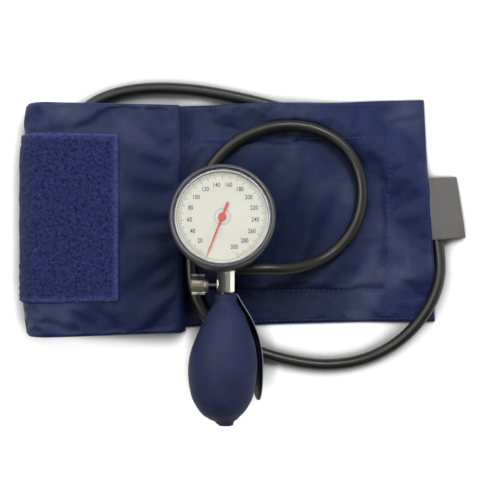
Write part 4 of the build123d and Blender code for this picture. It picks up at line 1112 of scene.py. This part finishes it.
def scale_ticks():
    """Bars at every second unit, longer at the tens."""
    bars = []
    for value in range(0, 302, 2):
        inner, half = LONG_TICK if value % 10 == 0 else SHORT_TICK
        angle = bearing(value)
        way, side = np.array([np.cos(angle), np.sin(angle)]), np.array([-np.sin(angle), np.cos(angle)])
        bars.append([way * inner - side * half, way * TICK_END_R - side * half,
                     way * TICK_END_R + side * half, way * inner + side * half])
    return flat_print("dial_ticks", bars)


def scale_circles():
    """Fine printed circles, each a chain of short bars."""
    bars = []
    angles = np.radians(np.linspace(0, 360, 145))
    for radius, half in CIRCLES:
        for a, b in zip(angles[:-1], angles[1:]):
            bars.append([(r * np.cos(t), r * np.sin(t)) for r, t in (
                (radius - half, a), (radius + half, a), (radius + half, b), (radius - half, b))])
    return flat_print("dial_circles", bars)


def scale_numbers(made):
    """Plain numbers every twenty units, as thin raised print."""
    for value in range(20, 301, 20):
        curve = bpy.data.curves.new("number", "FONT")
        curve.body = str(value)
        curve.size = 3.9
        curve.align_x = "CENTER"
        curve.align_y = "CENTER"
        curve.extrude = PRINT_T / 2
        curve.offset = 0.06
        curve.space_character = 1.05
        text = add_object("number", curve)
        mesh = bpy.data.meshes.new_from_object(text)
        bpy.data.objects.remove(text)
        angle = bearing(value)
        middle = np.array([NUMBER_R * np.cos(angle), NUMBER_R * np.sin(angle), PRINT_T])
        points = vertex_places(mesh) * np.array([0.78, 1.0, 1.0]) + middle
        mesh.vertices.foreach_set("co", (gauge_place(points) * MM).astype(np.float32).ravel())
        mesh.update()
        finish_piece(add_object(f"dial_number_{value}", mesh), made, "base", "dial_print")


# Floor, world and lamps
def stage_floor():
    """Pale floor with a glow for the camera and for mirrors, which fades near the object as a painted contact
    shadow.
    """
    mesh = bpy.data.meshes.new("floor")
    half = 3.0
    corners = [(-half, -half, 0), (half, -half, 0), (half, half, 0), (-half, half, 0)]
    mesh.from_pydata(corners, [], [(0, 1, 2, 3)])
    made, tree, shader = material("white_floor", 0.9, Specular_IOR_Level=0.0)
    shader.inputs["Base Color"].default_value = (0.45, 0.45, 0.45, 1)
    shader.inputs["Emission Color"].default_value = (1, 1, 1, 1)
    path = add_node(tree, "ShaderNodeLightPath")
    seen = maths(tree, "MAXIMUM", path.outputs["Is Camera Ray"], path.outputs["Is Glossy Ray"])
    seen = maths(tree, "MAXIMUM", seen, path.outputs["Is Transmission Ray"])
    # The glow fades where the floor is closed in near the object: a painted contact shadow.
    shadow_occlusion = add_node(tree, "ShaderNodeAmbientOcclusion", {"Distance": 0.018}, samples=12)
    outside_painted_shadow = stretch(tree, shadow_occlusion.outputs["AO"], 0.60, 0.94)
    glow = times(tree, times(tree, seen, 0.9), outside_painted_shadow)
    tree.links.new(glow, shader.inputs["Emission Strength"])
    mesh.materials.append(made)
    add_object("floor", mesh)


def studio_world():
    """World that is white to the camera and lights softly, most from the top of the picture.

    Mirrors see it dark, but for a bright right side and a dimmer left side."""
    world = bpy.data.worlds.new("studio")
    world.use_nodes = True
    bpy.context.scene.world = world
    tree = world.node_tree
    background = tree.nodes["Background"]
    path = add_node(tree, "ShaderNodeLightPath")
    way = axes(tree, coordinates(tree, "Generated"))
    ambient = stretch(tree, way[1], -1.0, 1.0, 0.10, 0.40)
    right = stretch(tree, way[0], 0.5, 0.92, 0.0, 0.45)
    left = stretch(tree, way[0], -0.97, -0.66, 0.04, 0.2)
    front = stretch(tree, way[1], -0.8, 0.3, 0.35, 1.0)
    mirrored = times(tree, plus(tree, right, left), front)
    change = times(tree, path.outputs["Is Glossy Ray"], minus(tree, mirrored, ambient))
    lighting = plus(tree, ambient, change)
    seen = maths(tree, "MAXIMUM", path.outputs["Is Camera Ray"], path.outputs["Is Transmission Ray"])
    white = times(tree, seen, minus(tree, 1.0, lighting))
    tree.links.new(plus(tree, lighting, white), background.inputs["Strength"])
    background.inputs["Color"].default_value = (1, 1, 1, 1)


def lamp(name, place, size, power, box=False):
    """Square soft lamp that faces the object; a box only shows in reflections."""
    data = bpy.data.lights.new(name, "AREA")
    data.size = size
    data.energy = power
    made = add_object(name, data)
    made.location = place
    distance = np.linalg.norm(place)
    made.rotation_euler = (0, np.arccos(place[2] / distance), np.arctan2(place[1], place[0]))
    made.visible_diffuse = not box


camera()
bpy.context.scene.view_settings.view_transform = "Standard"
stage_floor()
studio_world()
lamp("key", (0.4, 0.95, 1.4), 0.6, 17.5)
lamp("top_left", (-0.45, 0.6, 0.5), 0.4, 1.8)
lamp("left_fill", (-0.75, 0.1, 1.2), 0.5, 2.0)
lamp("left_box", (-0.6, 0.1, 1.1), 0.55, 7.0, box=True)
lamp("right_box", (1.1, 0.0, 0.27), 0.7, 1.7, box=True)

hose(moulded("hose_rubber", (0.008, 0.0078, 0.0055), (0.013, 0.0127, 0.0095), 0.4, 0.0005, 0.00002,
             Specular_IOR_Level=0.5))
LINE = hose_line()

# Cuff
nylon = navy_nylon()
thread = moulded("navy_thread", (0.045, 0.070, 0.250), (0.065, 0.095, 0.310), 0.6, 0.0002, 0.00003,
                 Specular_IOR_Level=0.2)
cuff_roll(nylon, thread)
cuff_flat(nylon, thread, LINE)
loop_pile_field(royal_pile(), thread)
tag = finish_piece(label_tag(LINE), grey_tape(), "base", "label_tape", "side_label")
dress(moulded("hook_tape", (0.01, 0.012, 0.06), (0.016, 0.02, 0.08), 0.7, 0.0006, 0.0002), "hook_patch")

# Bulb and finger lever
bulb_rubber = moulded("bulb_rubber", (0.023, 0.028, 0.081), (0.031, 0.036, 0.094), 0.6, 0.0003, 0.000015,
                      Specular_IOR_Level=0.15)
finish_piece(bulb_skin(), bulb_rubber, "base", "bulb_rubber", "bulb")
black, rubbed_black = (0.005, 0.007, 0.018), (0.010, 0.012, 0.028)
lacquer = moulded("lever_lacquer", black, rubbed_black, 0.16)
finish_piece(lever_eye(), lacquer, "spoon", "spoon_metal", "finger_spoon")
# The blade's lacquer carries a painted highlight along both edges.
blade_lacquer = bare_edges(moulded("lacquer_with_edge_highlight", black, rubbed_black, 0.16))
finish_piece(lever_blade(), blade_lacquer, "spoon", "spoon_metal")

# Front of the gauge
ring_polymer = moulded("ring_polymer", (0.032, 0.033, 0.039), (0.040, 0.041, 0.047), 0.42,
                       Specular_IOR_Level=0.8)
finish_piece(front_ring(), ring_polymer, "base", "ring_rubber", "bezel_ring")
ink = moulded("print_ink", (0.02, 0.02, 0.022), (0.03, 0.03, 0.032), 0.6)
finish_piece(scale_ticks(), ink, "base", "dial_print")
finish_piece(scale_circles(), ink, "base", "dial_print")
scale_numbers(ink)
dress(clear_lens(), "crystal")
dress(moulded("spacer_white", (0.74, 0.74, 0.70), (0.70, 0.70, 0.66), 0.5), "dial_spacer_ring")
dress(moulded("case_plastic", (0.012, 0.014, 0.032), (0.018, 0.02, 0.042), 0.38), "gauge_case")
dress(moulded("dial_lacquer", (0.62, 0.62, 0.535), (0.60, 0.60, 0.515), 0.55, 0.0003, 0.000004), "dial_plate")
dress(moulded("pointer_red", (0.46, 0.026, 0.006), (0.40, 0.022, 0.005), 0.45), "pointer")

# Metal and seals
dress(crowned_chrome(), "valve_body")
dress(metal("knurled_chrome", (0.86, 0.82, 0.68), 0.2), "release_knob")
dress(metal("chrome_plate", (0.66, 0.64, 0.57), 0.07), "hose_nipple")
dress(metal("dark_plate", (0.05, 0.05, 0.06), 0.3), "inlet_valve_body")
dress(metal("turned_brass", (0.72, 0.53, 0.25), 0.28),
      "sector_gear", "rocking_shaft", "movement_back_plate", "movement_bridge", "movement_pillars",
      "capsule_lift_pin", "capsule_stem", "inlet_tube", "case_nut", "outlet_ball_seat", "inlet_cage")
dress(metal("turned_steel", (0.6, 0.6, 0.6), 0.25),
      "pinion_arbor", "plate_screws", "bridge_screws", "capsule_screw", "release_needle", "outlet_ball",
      "outlet_spring", "inlet_ball")
dress(metal("bronze_sheet", (0.66, 0.45, 0.27), 0.32),
      "hairspring", "capsule_lower_sheet", "capsule_upper_sheet")
dress(moulded("seal_rubber", (0.012, 0.012, 0.012), (0.02, 0.02, 0.02), 0.6),
      "crystal_gasket", "needle_seal", "bladder", "bladder_port")
